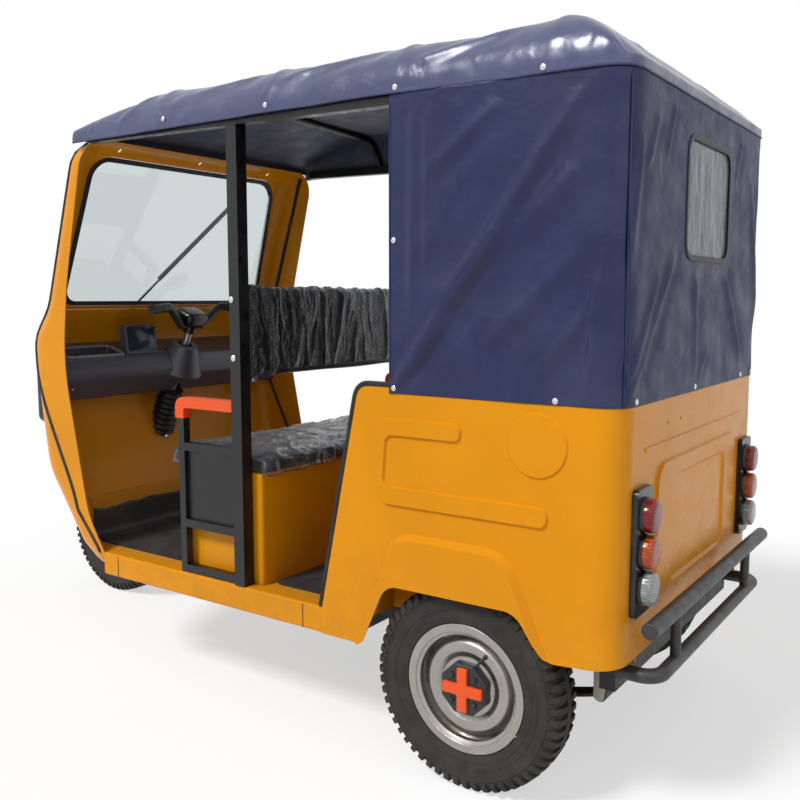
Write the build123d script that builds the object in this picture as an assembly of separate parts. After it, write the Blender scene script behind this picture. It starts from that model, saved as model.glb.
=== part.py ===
from build123d import *
import math
import os

# Electric passenger three-wheeler, in millimetres: the front faces -Y, its left side is +X, +Z is up.
# While it is modelled, y is measured from the rear axle; the last step centres it over the floor.

# Overall sizes
WHEELBASE = 2040.0
BODY_WIDTH = 1150.0
REAR_OVERHANG = 403.0     # rear axle to the rear panel's outer face
SILL_BOTTOM_Z = 322.0
FLOOR_Z = 395.0           # top of the steel floor
BELT_Z = 1010.0           # lower hem of the canopy's walls
EAVE_Z = 1750.0           # where the roof cloth turns down, at the rear
EAVE_CLIMB = 36.0         # how much higher that edge is at the front
ROOF_Z = 1905.0           # crown of the roof cloth

# Gauges and running gaps
SHEET = 3.0               # pressed steel with its folded edge
CLOTH = 4.0               # coated canopy cloth with its hem
SEAT_GAP = 0.3            # between a piece and the piece that carries it
SHAFT_GAP = 0.05          # radial gap of a shaft in its bore
TUBE = 40.0               # square tube of posts

# Wheels: 12 inch steel rims
TYRE_R = 269.0
TYRE_W = 112.0
RIM_FLANGE_R = 168.0
RIM_BARREL_R = 152.0
RIM_W = 96.0
AXLE_R = 17.5
REAR_WHEEL_X = 512.0
DRUM_R = 105.0
HUB_R = 62.0

# Steering: the axis leans back, and the fork carries the axle ahead of it
RAKE = 25.0
FORK_OFFSET = 45.0
FORK_LEG_X = 94.0
FORK_LEG_R = 21.0
CROWN_RISE = 345.0        # along the axis, from the wheel's centre to the fork crown
STEM_R = 15.0
HEAD_TUBE_R = 30.0
HEAD_TUBE_RISE = (392.0, 640.0)
BAR_RISE = 985.0
BAR_R = 11.0
GRIP_R = 17.0
MUDGUARD_GAP = 22.0

# Front shell
CORNER_R = 95.0           # rounding between the front and the sides, seen from above
GLASS_TOP_Z = 1722.0
GLASS_FOOT_Z = 1240.0
GLASS_TOP_X = 440.0
GLASS_FOOT_X = 478.0
GLASS_T = 5.0
GASKET = 16.0             # visible width of the windscreen rubber

# Rear body
REAR_CORNER_R = 70.0
SEAM_X = 30.0             # panel seam on the rear corner, in from the body side
ARCH_FLARE = 18.0         # how far the wheel arch stands out
RIB = 7.0                 # height of pressed ribs

# Rear bumper
BUMPER_GAP = 55.0         # rear panel to the tube's centre
BUMPER_R = 20.0

HALF = BODY_WIDTH / 2
FRONT_Y = -WHEELBASE
AXLE_Z = TYRE_R
SIDES = (1, -1)
U = Vector(0, math.sin(math.radians(RAKE)), math.cos(math.radians(RAKE)))      # up the steering axis
N = Vector(0, -math.cos(math.radians(RAKE)), math.sin(math.radians(RAKE)))     # ahead of it
FRONT_AXLE = Vector(0, FRONT_Y, AXLE_Z)
STEER_FOOT = FRONT_AXLE - N * FORK_OFFSET
MUDGUARD_R = TYRE_R + MUDGUARD_GAP + SHEET
BUMPER_Y = REAR_OVERHANG + BUMPER_GAP
MUDGUARD_START = -12.0    # elevation of the mudguard's rear end, seen from the axle
MUDGUARD_FRONT = 25.0     # elevation of its front end
FRONT_REACH = WHEELBASE + max(TYRE_R, MUDGUARD_R * math.cos(math.radians(MUDGUARD_FRONT)))
CENTRE_SHIFT = (FRONT_REACH - (BUMPER_Y + BUMPER_R)) / 2


# Shapes used by many pieces

def inset(corners, distance):
    """Move every side of a closed outline inwards and keep its rounded corners concentric."""
    count = len(corners)
    area = sum(corners[i - 1][0] * corners[i][1] - corners[i][0] * corners[i - 1][1] for i in range(count))
    way = 1 if area > 0 else -1
    moved = []
    for i, (a, b, radius) in enumerate(corners):
        last, following = corners[i - 1], corners[(i + 1) % count]
        before = Vector(a - last[0], b - last[1]).normalized()
        after = Vector(following[0] - a, following[1] - b).normalized()
        inward = Vector(-before.Y, before.X) * way
        onward = Vector(-after.Y, after.X) * way
        bend = (inward + onward) / (1 + inward.dot(onward))
        convex = before.cross(after).Z * way > 0
        rounded = radius - distance if convex else radius + distance
        moved.append((a + bend.X * distance, b + bend.Y * distance, max(rounded, 0) if radius else 0))
    return moved


def outline(corners):
    """A flat face from a table of corners: first place, second place, rounding radius."""
    points = [(a, b) for a, b, _ in corners]
    radii = [radius for _, _, radius in corners]
    return make_face(FilletPolyline(*points, radius=radii, close=True))


def across(corners, low, high):
    """Extrude an outline given in (y, z) from x = low to x = high."""
    return extrude(Plane.YZ.offset(low) * outline(corners), amount=high - low)


def along(corners, low, high):
    """Extrude an outline given in (x, z) from y = low to y = high."""
    return extrude(Plane.XZ.offset(-high) * outline(corners), amount=high - low)


def upright(corners, low, high):
    """Extrude an outline given in (x, y) from z = low to z = high."""
    return extrude(Plane.XY.offset(low) * outline(corners), amount=high - low)


def block(x, y, z):
    """A box from its three (low, high) pairs."""
    size = [high - low for low, high in (x, y, z)]
    middle = [(low + high) / 2 for low, high in (x, y, z)]
    return Pos(*middle) * Box(*size)


def rectangle(a, b, radius=0.0):
    """The corners of an upright rectangle from two (low, high) pairs."""
    return [(a[0], b[0], radius), (a[1], b[0], radius), (a[1], b[1], radius), (a[0], b[1], radius)]


def rod(start, end, radius):
    """A round bar between two points."""
    start, end = Vector(*start), Vector(*end)
    return extrude(Plane(start, z_dir=end - start) * Circle(radius), amount=(end - start).length)


def beam(start, end, width, height):
    """A straight rectangular bar between two points; its width lies level."""
    start, end = Vector(*start), Vector(*end)
    way = (end - start).normalized()
    level = Vector(0, 0, 1).cross(way)
    level = level.normalized() if level.length > 1e-6 else Vector(1, 0, 0)
    section = Plane(start, x_dir=level, z_dir=way) * Rectangle(width, height)
    return extrude(section, amount=(end - start).length)


def bent_tube(points, radius, bend):
    """A round tube through points, with one bend radius."""
    path = FilletPolyline(*points, radius=bend)
    return sweep(Plane(path @ 0, z_dir=path % 0) * Circle(radius), path=path)


def pressed(plane, corners, height, draft):
    """A form pressed out of a panel: its outline, drawn in by draft at its full height."""
    return loft([plane * outline(corners), plane.offset(height) * outline(inset(corners, draft))], ruled=True)


def mirrored(shape):
    """The same piece on the other side of the vehicle."""
    return mirror(shape, about=Plane.YZ)


def fused(shapes):
    """Weld shapes into one solid."""
    first, *rest = shapes
    return first.fuse(*rest).clean()


# Front shell: one profile (y, z, radius) from the roof down and under the floor

FRONT_PROFILE = [
    (FRONT_Y + 500, EAVE_Z + 20, 112),           # header above the glass
    (FRONT_Y + 328, GLASS_FOOT_Z - 5, 150),      # foot of the windscreen
    (FRONT_Y + 238, GLASS_FOOT_Z - 112, 150),    # fullest part of the cowl
    (FRONT_Y + 240, GLASS_FOOT_Z - 250, 500),
    (FRONT_Y + 290, FLOOR_Z + 245, 260),         # knee of the toe board
    (FRONT_Y + 480, FLOOR_Z - 12, 150),
    (FRONT_Y + 575, SILL_BOTTOM_Z, 150),
]
SHELL_BACK = FRONT_Y + 1100
SILL_FRONT = FRONT_Y + 638
PILLAR_EDGE = [
    (SILL_FRONT, SILL_BOTTOM_Z - 10, 0),
    (SILL_FRONT, FLOOR_Z + 2, 45),               # foot of the pillar, on the sill
    (FRONT_Y + 560, FLOOR_Z + 118, 300),
    (FRONT_Y + 455, FLOOR_Z + 640, 700),
    (FRONT_Y + 490, GLASS_FOOT_Z + 60, 900),
    (FRONT_Y + 612, EAVE_Z + 60, 0),
]


def front_body(depth):
    """The front as a filled form, with every face moved inwards by depth."""
    corners = FRONT_PROFILE + [(SHELL_BACK, SILL_BOTTOM_Z, 0), (SHELL_BACK, EAVE_Z + 32, 0)]
    half = HALF - depth
    body = across(inset(corners, depth), -half, half)
    rims = [edge for edge in body.edges()
            if abs(abs(edge.center().X) - half) < 0.01 and edge.center().Y < SHELL_BACK - depth - 1]
    return fillet(rims, CORNER_R - depth)


def front_shell():
    """The folded steel front, from the roof to the underside, ending along the pillars."""
    ahead = PILLAR_EDGE + [(FRONT_Y - 100, EAVE_Z + 60, 0), (FRONT_Y - 100, SILL_BOTTOM_Z - 10, 0)]
    return (front_body(0) - front_body(SHEET)) & across(ahead, -HALF, HALF)


def screen_outline(margin):
    """Windscreen opening seen from the front, grown by margin."""
    corners = [
        (-GLASS_FOOT_X, GLASS_FOOT_Z, 40), (GLASS_FOOT_X, GLASS_FOOT_Z, 40),
        (GLASS_TOP_X, GLASS_TOP_Z, 70), (-GLASS_TOP_X, GLASS_TOP_Z, 70),
    ]
    return inset(corners, -margin)


def steer_point(rise, ahead=0.0, side=0.0):
    """A point up the steering axis, ahead of it and to one side."""
    return STEER_FOOT + U * rise + N * ahead + Vector(side, 0, 0)


HEADER_HOLES_X = (-370.0, 0.0, 370.0)            # open fixing holes in the header
HEADER_HOLE_Z = EAVE_Z + 8
HEADER_HOLE_R = 5.0
SPLIT_Z = GLASS_FOOT_Z - GASKET - 14             # seam between the screen's frame and the cowl

shell = front_shell()
screen_cut = along(screen_outline(GASKET), FRONT_Y - 100, FRONT_Y + 1000)
head_clearance = rod(steer_point(300), steer_point(1000), HEAD_TUBE_R + 8)
shell_x = (-HALF, HALF)
shell_y = (FRONT_Y - 100, SHELL_BACK)
windscreen_frame = (shell & block(shell_x, shell_y, (SPLIT_Z, EAVE_Z + 100))) - screen_cut
for x in HEADER_HOLES_X:
    hole = rod((x, FRONT_Y + 300, HEADER_HOLE_Z), (x, FRONT_Y + 700, HEADER_HOLE_Z), HEADER_HOLE_R)
    windscreen_frame = windscreen_frame - hole
front_cowl = shell & block(shell_x, shell_y, (SILL_BOTTOM_Z - 10, SPLIT_Z - SEAT_GAP))
front_cowl = front_cowl - head_clearance

# Windscreen: a flat pane in a rubber frame, both in the slope of the header
screen_slope = FRONT_PROFILE[:2]
(top_y, top_z, _), (foot_y, foot_z, _) = screen_slope
slope_dir = Vector(foot_y - top_y, foot_z - top_z).normalized()
screen_normal = Vector(-slope_dir.Y, slope_dir.X)


def in_screen(margin_outer, margin_inner, outer_face, inner_face):
    """A layer that lies in the windscreen's slope, measured inwards from the steel's outer face."""
    top, foot = screen_slope
    reach = 60
    lead = slope_dir * reach

    def corner(place, depth, end):
        base = Vector(place[0], place[1]) + lead * end
        return (base.X + screen_normal.X * depth, base.Y + screen_normal.Y * depth, 0)
    slab = [corner(top, outer_face, -1), corner(foot, outer_face, 1),
            corner(foot, inner_face, 1), corner(top, inner_face, -1)]
    layer = across(slab, -HALF, HALF) & along(screen_outline(margin_outer), FRONT_Y, FRONT_Y + 1000)
    if margin_inner is not None:
        layer = layer - along(screen_outline(margin_inner), FRONT_Y, FRONT_Y + 1000)
    return layer


windscreen_gasket = in_screen(GASKET - SEAT_GAP, 0, -4, SHEET + 6)
windscreen = in_screen(-SEAT_GAP, None, -1, GLASS_T - 1)

# Wiper: a spindle on the header of the cowl, an arm and a blade, all ahead of the glass
WIPER_FOOT = (150.0, GLASS_FOOT_Z - 34)          # (x, z) of the spindle
WIPER_TIP = (-250.0, GLASS_FOOT_Z + 375)
WIPER_STANDOFF = 26.0


def on_screen(x, z, ahead):
    """A point at a height on the windscreen's slope, standing ahead of the steel's outer face."""
    top, foot = screen_slope
    share = (z - foot[1]) / (top[1] - foot[1])
    y = foot[0] + (top[0] - foot[0]) * share
    return Vector(x, y - screen_normal.X * ahead, z - screen_normal.Y * ahead)


def wiper():
    """Spindle, arm and rubber blade as one piece."""
    foot_x, foot_z = WIPER_FOOT
    tip_x, tip_z = WIPER_TIP
    middle = ((foot_x + tip_x) / 2 - 30, (foot_z + tip_z) / 2 + 28)
    spindle = rod(on_screen(foot_x, foot_z, -20), on_screen(foot_x, foot_z, WIPER_STANDOFF + 6), 9)
    arm = beam(on_screen(foot_x, foot_z, WIPER_STANDOFF), on_screen(*middle, WIPER_STANDOFF), 12, 6)
    blade = beam(on_screen(middle[0] + 130, middle[1] - 120, WIPER_STANDOFF - 6),
                 on_screen(tip_x, tip_z, WIPER_STANDOFF - 6), 9, 16)
    return fused([spindle - front_body(-SEAT_GAP), arm, blade])


# Nose: a closed hump over the steering head, open below; rows are (z, front y, half-width, radius)
NOSE_ROWS = [
    (FLOOR_Z + 300, FRONT_Y + 85, 150, 95),
    (FLOOR_Z + 665, FRONT_Y + 195, 118, 70),
]


def nose_form(depth):
    """The nose as a filled form between its lower and upper outlines."""
    sections = []
    for z, front, half, radius in NOSE_ROWS:
        corners = [(-half, FRONT_Y + 360, 0), (-half, front, radius), (half, front, radius),
                   (half, FRONT_Y + 360, 0)]
        level = z - depth if z == NOSE_ROWS[-1][0] else z - depth / 10
        sections.append(Plane.XY.offset(level) * outline(inset(corners, depth)))
    return loft(sections, ruled=True)


def nose_fairing():
    """The hump's skin where it stands ahead of the cowl."""
    return (nose_form(0) - nose_form(SHEET)) - front_body(-SEAT_GAP)


# Headlamps: one moulded housing each side, seated on the cowl
LAMP_X = (340.0, 480.0)
LAMP_Z = (790.0, 1030.0)
LAMP_FRONT = FRONT_Y + 140
LAMP_LENS_R = 52.0
LAMP_LENS_RISE = 40.0     # lens centre above the housing's middle


def headlamp(side):
    """A rounded housing with a shallow lens recess in its front."""
    housing = block(LAMP_X, (LAMP_FRONT, FRONT_Y + 330), LAMP_Z)
    housing = fillet(housing.edges().filter_by(Axis.Y), 30)
    housing = fillet(housing.faces().sort_by(Axis.Y)[0].edges(), 22)
    x = sum(LAMP_X) / 2
    z = sum(LAMP_Z) / 2 + LAMP_LENS_RISE
    lens = rod((x, LAMP_FRONT - 1, z), (x, LAMP_FRONT + 6, z), LAMP_LENS_R)
    housing = housing - lens - front_body(-SEAT_GAP)
    return housing if side > 0 else mirrored(housing)


# Dashboard: a moulded cover across the cab, with a collar for the steering column
DASH_REAR = FRONT_Y + 440
DASH_TOP_Z = GLASS_FOOT_Z - 205                  # at its rear edge; the top climbs towards the cowl
DASH_FOOT_Z = GLASS_FOOT_Z - 355
DASH_CLIMB = 62.0
DASH_WALL = 4.0
DASH_OPEN = FRONT_Y + 200                        # the walls run on to here, into the cowl
TRAY_X = (270.0, 505.0)                          # open tray in the top, beside the column
TRAY_Y = (DASH_REAR - 145, DASH_REAR - 50)
TRAY_Z = DASH_TOP_Z - 26
TRAY_R = 14.0
DISPLAY_X = (108.0, 252.0)                       # display housing on the top, beside the column
DISPLAY_Y = (DASH_REAR - 92, DASH_REAR - 52)
DISPLAY_TOP_Z = DASH_TOP_Z + 118
COLLAR_RISE = (800.0, 905.0)                     # cone round the column, along the steering axis
COLLAR_R = (96.0, 52.0)


def dash_panel():
    """Top, rear and lower walls with closed ends, a tray, a display housing and a cone round the column."""
    profile = [(DASH_OPEN, DASH_FOOT_Z, 0), (DASH_REAR - 88, DASH_FOOT_Z, 12),
               (DASH_REAR, DASH_TOP_Z - 62, 45), (DASH_REAR - 30, DASH_TOP_Z, 22),
               (DASH_OPEN, DASH_TOP_Z + DASH_CLIMB, 0)]
    body = across(profile, -HALF, HALF) & front_body(SHEET + SEAT_GAP)
    inner = [(a - 100, b, r) if a < DASH_OPEN + 30 else (a, b, r) for a, b, r in inset(profile, DASH_WALL)]
    end = HALF - DASH_WALL - 20
    hollow = across(inner, -end, end)
    above = DASH_TOP_Z + DASH_CLIMB
    tray = rectangle(TRAY_X, TRAY_Y, TRAY_R)
    pocket = upright(tray, TRAY_Z, above)
    hollow = hollow - upright(inset(tray, -DASH_WALL), TRAY_Z - DASH_WALL, above)
    ahead, behind = DISPLAY_Y
    side_view = [(ahead, DASH_TOP_Z, 0), (behind, DASH_TOP_Z, 0), (behind - 14, DISPLAY_TOP_Z, 10),
                 (ahead, DISPLAY_TOP_Z - 6, 10)]
    display = across(side_view, *DISPLAY_X)
    cones = [Plane(steer_point(rise), x_dir=(1, 0, 0), z_dir=U) * Circle(radius)
             for rise, radius in zip(COLLAR_RISE, COLLAR_R)]
    cover = fused([(body - pocket) - hollow, display, loft(cones) - hollow])
    return cover - rod(steer_point(COLLAR_RISE[0] - 150), steer_point(COLLAR_RISE[1] + 50), STEM_R + 12)


# Floor: flat pan with a toe board that follows the cowl's inside
TOE_TOP_Z = FLOOR_Z + 135
TUNNEL_HALF = 400.0       # the cowl is open below the toe board between these
BENCH_FRONT = -215.0
WHEELHOUSE_X = 440.0
WHEELHOUSE_FRONT = -(TYRE_R + 34)


def floor_pan():
    """Steel floor from the toe board to the rear bench."""
    inside = HALF - SHEET - SEAT_GAP
    low, high = FLOOR_Z - SHEET, FLOOR_Z
    lining = front_body(SHEET + SEAT_GAP)
    plate = block((-inside, inside), (FRONT_Y + 400, WHEELHOUSE_FRONT), (low, high)) & lining.fuse(
        block((-inside, inside), (SHELL_BACK - 10, 0), (low, high)))
    narrow = WHEELHOUSE_X - SHEET
    step = block((-narrow, narrow), (WHEELHOUSE_FRONT - 1, BENCH_FRONT - SHEET), (low, high))
    toe = (lining - front_body(2 * SHEET + SEAT_GAP)) & block(
        (-TUNNEL_HALF - 40, TUNNEL_HALF + 40), (FRONT_Y, FRONT_Y + 560), (low, TOE_TOP_Z))
    return fused([plate, step, toe])


MAT = 6.0
MAT_ROWS = [                                     # front y, rear y, half-width
    (FRONT_Y + 500, FRONT_Y + 995, HALF - 85),
    (FRONT_Y + 1340, WHEELHOUSE_FRONT - 20, HALF - 85),
]


def floor_mats():
    """Rubber mats before the driver's seat and before the bench."""
    return [upright(rectangle((-half, half), (front, rear), 20), FLOOR_Z + SEAT_GAP, FLOOR_Z + MAT)
            for front, rear, half in MAT_ROWS]


# Side sills: folded channels between the pillar's foot and the quarter panel
QUARTER_FRONT = -454.0
SILL_LIP = TUBE


def side_sill(side):
    """A C-section whose upper lip lies on the floor."""
    top = FLOOR_Z + SHEET
    section = [(HALF, SILL_BOTTOM_Z, 8), (HALF, top, 8), (HALF - SILL_LIP, top, 0),
               (HALF - SILL_LIP, FLOOR_Z, 0), (HALF - SHEET, FLOOR_Z, 0),
               (HALF - SHEET, SILL_BOTTOM_Z + SHEET, 0), (HALF - 40, SILL_BOTTOM_Z + SHEET, 0),
               (HALF - 40, SILL_BOTTOM_Z, 0)]
    sill = along(section, SILL_FRONT + SEAT_GAP, QUARTER_FRONT - SEAT_GAP)
    return sill if side > 0 else mirrored(sill)


# Driver's seat, posts and side guards; places are measured from the front axle
SEAT_BOX_Y = (FRONT_Y + 1005, FRONT_Y + 1325)
SEAT_TOP_Z = 735.0
CUSHION_Y = (FRONT_Y + 920, FRONT_Y + 1350)
CUSHION_T = 56.0
POST_Y = FRONT_Y + 1274
GUARD_FRONT = FRONT_Y + 1027
GUARD_TUBE = 25.0
GUARD_RAILS_Z = (FLOOR_Z + 15.5, 556.0, 797.0)
ARM_Z = (885.0, 950.0)
ROOF_FRONT = FRONT_Y + 560
BOARD_Z = (1005.0, 1295.0)
BOARD_T = 50.0


def eave(y):
    """Height of the roof's lower edge, which climbs gently towards the front."""
    return EAVE_Z + EAVE_CLIMB * (REAR_OVERHANG - y) / (REAR_OVERHANG - ROOF_FRONT)


def seat_box():
    """Folded steel box, open below, that carries the driver's cushion."""
    half = HALF - TUBE - 5
    box = upright(rectangle((-half, half), SEAT_BOX_Y, 15), FLOOR_Z + SEAT_GAP, SEAT_TOP_Z)
    inner = (SEAT_BOX_Y[0] + SHEET, SEAT_BOX_Y[1] - SHEET)
    return box - upright(rectangle((SHEET - half, half - SHEET), inner, 12), FLOOR_Z, SEAT_TOP_Z - SHEET)


def soft_block(x, y, z, radius):
    """A plain padded form with rounded edges."""
    pad = block(x, y, z)
    return fillet(pad.edges(), radius)


def door_post(side):
    """Square tube from the sill to the roof rail."""
    top = eave(POST_Y + TUBE / 2) - ROOF_RAIL - CLOTH - SEAT_GAP
    x = (HALF - TUBE, HALF)
    post = block(x, (POST_Y - TUBE / 2, POST_Y + TUBE / 2), (FLOOR_Z + SHEET, top))
    return post if side > 0 else mirrored(post)


def door_guard(side):
    """Upright, three rails and a sheet panel beside the driver's seat."""
    x = (HALF - TUBE + 7.5, HALF - TUBE + 7.5 + GUARD_TUBE)
    half = GUARD_TUBE / 2
    rear = POST_Y - TUBE / 2 - SEAT_GAP
    pieces = [block(x, (GUARD_FRONT - half, GUARD_FRONT + half), (FLOOR_Z + SHEET, ARM_Z[0] - SEAT_GAP))]
    pieces += [block(x, (GUARD_FRONT, rear), (z - half, z + half)) for z in GUARD_RAILS_Z]
    sheet = (x[0] + 10, x[0] + 10 + SHEET)
    pieces.append(block(sheet, (GUARD_FRONT, rear), GUARD_RAILS_Z[1:]))
    guard = fused(pieces)
    return guard if side > 0 else mirrored(guard)


def armrest(side):
    """Moulded rest that hooks over the guard's upright and runs back to the post."""
    x = (HALF - TUBE + 2, HALF - TUBE + 38)
    front = GUARD_FRONT - 18
    rear = POST_Y - TUBE / 2 - SEAT_GAP
    profile = [(front, ARM_Z[0], 4), (front, ARM_Z[1], 32), (rear, ARM_Z[1], 6), (rear, ARM_Z[1] - 32, 6),
               (front + 36, ARM_Z[1] - 32, 10), (front + 36, ARM_Z[0], 4)]
    rest = across(profile, *x)
    return rest if side > 0 else mirrored(rest)


# Rear body: a filled form whose skin gives the quarter panels and the rear panel
QUARTER_TOP_Z = BELT_Z + 21
REAR_FOOT_Z = 412.0
QUARTER_EDGE = [                                 # kept side outline: y, z, radius
    (QUARTER_FRONT, SILL_BOTTOM_Z, 0),
    (-TYRE_R - 34, SILL_BOTTOM_Z, 42),
    (-TYRE_R + 48, AXLE_Z + 238, 60),            # arch, ahead of the wheel
    (TYRE_R - 112, AXLE_Z + 240, 62),
    (TYRE_R - 36, REAR_FOOT_Z - 14, 34),         # arch, behind the wheel
    (REAR_OVERHANG + 60, REAR_FOOT_Z + 3, 0),
    (REAR_OVERHANG + 60, QUARTER_TOP_Z, 0),
    (-322, QUARTER_TOP_Z, 55),
    (QUARTER_FRONT, FLOOR_Z + 4, 0),
]
FLARE_EDGE = [                                   # raised arch: y, z, radius
    (-TYRE_R - 90, SILL_BOTTOM_Z - 60, 0),
    (-TYRE_R + 62, AXLE_Z + 384, 95),
    (TYRE_R - 140, AXLE_Z + 384, 95),
    (TYRE_R + 30, SILL_BOTTOM_Z - 60, 0),
]
FLARE_DRAFT = 16.0
RIB_DRAFT = 5.0
C_RIB = [                                        # pressed C: y, z, radius
    (-274, 948, 44), (-2, 948, 22), (-2, 899, 22), (-224, 899, 18), (-234, 771, 18),
    (232, 771, 24), (232, 717, 24), (-262, 717, 48),
]
DISC_RIB = (200.0, 913.0, 79.0)                  # pressed disc: y, z, radius
PAD_RIB = ((-345.0, 345.0), (500.0, 858.0))      # pressed pad on the rear panel: x, z
PAD_RECESS = ((-225.0, 225.0), (545.0, 805.0))   # field pressed back into the pad: x, z
CREASE = ((-430.0, 430.0), (894.0, 908.0))       # narrow pressed line above the pad: x, z
BADGE_X = (170.0, 270.0)                         # two open fixing holes above the pad
BADGE_Z = 949.0
BADGE_HOLE_R = 4.5


def rear_body(depth):
    """Rear body filled, with its skin moved inwards by depth and its arches standing out."""
    half = HALF - depth
    rear = REAR_OVERHANG - depth
    radius = REAR_CORNER_R - depth
    plan = [(-half, -900, 0), (half, -900, 0), (half, rear, radius), (-half, rear, radius)]
    over = 30 if depth else 0                    # an inner form runs on past both open ends
    body = upright(plan, SILL_BOTTOM_Z - 50 - over, QUARTER_TOP_Z + over)
    flare = pressed(Plane.YZ.offset(half - 1), inset(FLARE_EDGE, depth), ARCH_FLARE + 1, FLARE_DRAFT)
    return body.fuse(flare, mirrored(flare))


def rear_skin():
    """The whole pressed wall of the rear body, before it is parted at its seams."""
    kept = across(QUARTER_EDGE, -HALF - 60, HALF + 60)
    return (rear_body(0) - rear_body(SHEET)) & kept


SEAM = HALF - SEAM_X
rear_wall = rear_skin()


def quarter_panel(side):
    """Side of the rear body with its raised arch, pressed C and pressed disc."""
    panel = rear_wall & block((SEAM + SEAT_GAP / 2, HALF + 60), (-900, 900), (0, 2000))
    face = Plane.YZ.offset(HALF - 1)
    c_rib = pressed(face, C_RIB, RIB + 1, RIB_DRAFT)
    y, z, radius = DISC_RIB
    disc = loft([face * (Pos(y, z) * Circle(radius)),
                 face.offset(RIB - 1) * (Pos(y, z) * Circle(radius - RIB_DRAFT))])
    panel = fused([panel, c_rib, disc])
    return panel if side > 0 else mirrored(panel)


def rear_panel():
    """Rear wall between the corner seams, with its pressed pad."""
    panel = rear_wall & block((SEAT_GAP / 2 - SEAM, SEAM - SEAT_GAP / 2), (-900, 900), (0, 2000))
    panel = panel & block((-HALF, HALF), (REAR_OVERHANG - REAR_CORNER_R, 900), (0, 2000))
    face = Plane((0, REAR_OVERHANG - 1, 0), x_dir=(-1, 0, 0), z_dir=(0, 1, 0))
    pad = pressed(face, rectangle(*PAD_RIB, 60), RIB + 1, RIB_DRAFT)
    field = rectangle(*PAD_RECESS, 24)
    mouth = inset(field, -2 * RIB_DRAFT)
    recess = loft([face.offset(2) * outline(field), face.offset(RIB + 2) * outline(mouth)], ruled=True)
    crease = pressed(face, rectangle(*CREASE, 5), RIB / 2 + 1, RIB_DRAFT / 2)
    panel = fused([panel, pad - recess, crease])
    for x in BADGE_X:
        panel = panel - rod((x, REAR_OVERHANG - 20, BADGE_Z), (x, REAR_OVERHANG + 20, BADGE_Z), BADGE_HOLE_R)
    return panel


# Bench: folded steel over the wheels, with its cushion and backrest
BENCH_Z = 738.0
BENCH_PAD_REAR = 270.0
BENCH_PAD_T = 95.0
BENCH_BACK_RISE = 540.0
WHEELHOUSE_Z = 600.0


def bench_base():
    """Riser, top and wheel houses of the passenger bench."""
    inside = HALF - SHEET - SEAT_GAP
    rear = REAR_OVERHANG - SHEET - SEAT_GAP
    plan = [(-inside, -900, 0), (inside, -900, 0), (inside, rear, REAR_CORNER_R - SHEET - SEAT_GAP),
            (-inside, rear, REAR_CORNER_R - SHEET - SEAT_GAP)]
    room = upright(plan, 0, BENCH_Z)
    low = FLOOR_Z - SHEET
    wall = (WHEELHOUSE_X - SHEET, WHEELHOUSE_X)
    pieces = [block((-HALF, HALF), (BENCH_FRONT - SHEET, 900), (BENCH_Z - SHEET, BENCH_Z)),
              block((-wall[1], wall[1]), (BENCH_FRONT - SHEET, BENCH_FRONT), (low, BENCH_Z))]
    for side in SIDES:
        reach = sorted((side * wall[0], side * HALF))
        panel = sorted((side * wall[0], side * wall[1]))
        pieces.append(block(panel, (WHEELHOUSE_FRONT, 900), (low, WHEELHOUSE_Z)))
        pieces.append(block(reach, (WHEELHOUSE_FRONT, WHEELHOUSE_FRONT + SHEET), (low, WHEELHOUSE_Z)))
        pieces.append(block(reach, (WHEELHOUSE_FRONT, 900), (WHEELHOUSE_Z - SHEET, WHEELHOUSE_Z)))
        pieces.append(block(reach, (BENCH_FRONT - SHEET, BENCH_FRONT), (WHEELHOUSE_Z - SHEET, BENCH_Z)))
    return fused(pieces) & room


# Canopy: cloth over tube hoops
ROOF_RAIL = 30.0          # square tube of the roof's rails
UPRIGHT = 25.0            # square tube of the canopy's uprights
HOOP_R = 12.0
ROOF_SIDE = HALF + SEAT_GAP + CLOTH
ROOF_REAR = REAR_OVERHANG + SEAT_GAP + CLOTH
ROOF_ROLL_R = 128.0       # rounding of the roof's long edges
HIP_FRONT = FRONT_Y + 945
HIP_REAR = 235.0
WALL_FRONT = -217.0
HOOP_Y = (HIP_FRONT + 20, -633.0, -200.0, HIP_REAR - 20)
WINDOW = ((-188.0, 188.0), (1352.0, 1650.0))     # rear window: x, z


def roof_section(bottom):
    """Cross-section of the roof cloth: x, z, radius."""
    shoulder = ROOF_Z - 20
    return [(-ROOF_SIDE, bottom, 0), (ROOF_SIDE, bottom, 0), (ROOF_SIDE, shoulder, ROOF_ROLL_R),
            (0, ROOF_Z, 5000), (-ROOF_SIDE, shoulder, ROOF_ROLL_R)]


def roof_profile(bottom):
    """Side view of the roof cloth, with a hip at each end: y, z, radius."""
    top = ROOF_Z + 6
    return [(ROOF_FRONT, bottom, 0), (ROOF_REAR, bottom, 0), (ROOF_REAR, EAVE_Z + 14, 30),
            (HIP_REAR, top, 110), (HIP_FRONT, top, 300), (ROOF_FRONT, EAVE_Z + 48, 18)]


def roof_form(depth):
    """The roof as a filled form, with its faces moved inwards by depth."""
    bottom = EAVE_Z - 100 - 20 * depth
    half = ROOF_SIDE - depth
    corner = REAR_CORNER_R + SEAT_GAP + CLOTH - depth
    plan = [(-half, 2 * FRONT_Y, 0), (half, 2 * FRONT_Y, 0), (half, ROOF_REAR - depth, corner),
            (-half, ROOF_REAR - depth, corner)]
    return (along(inset(roof_section(bottom), depth), 2 * FRONT_Y, REAR_OVERHANG + 100)
            & across(inset(roof_profile(bottom), depth), -HALF - 60, HALF + 60)
            & upright(plan, bottom - 10, ROOF_Z + 100))


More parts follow.
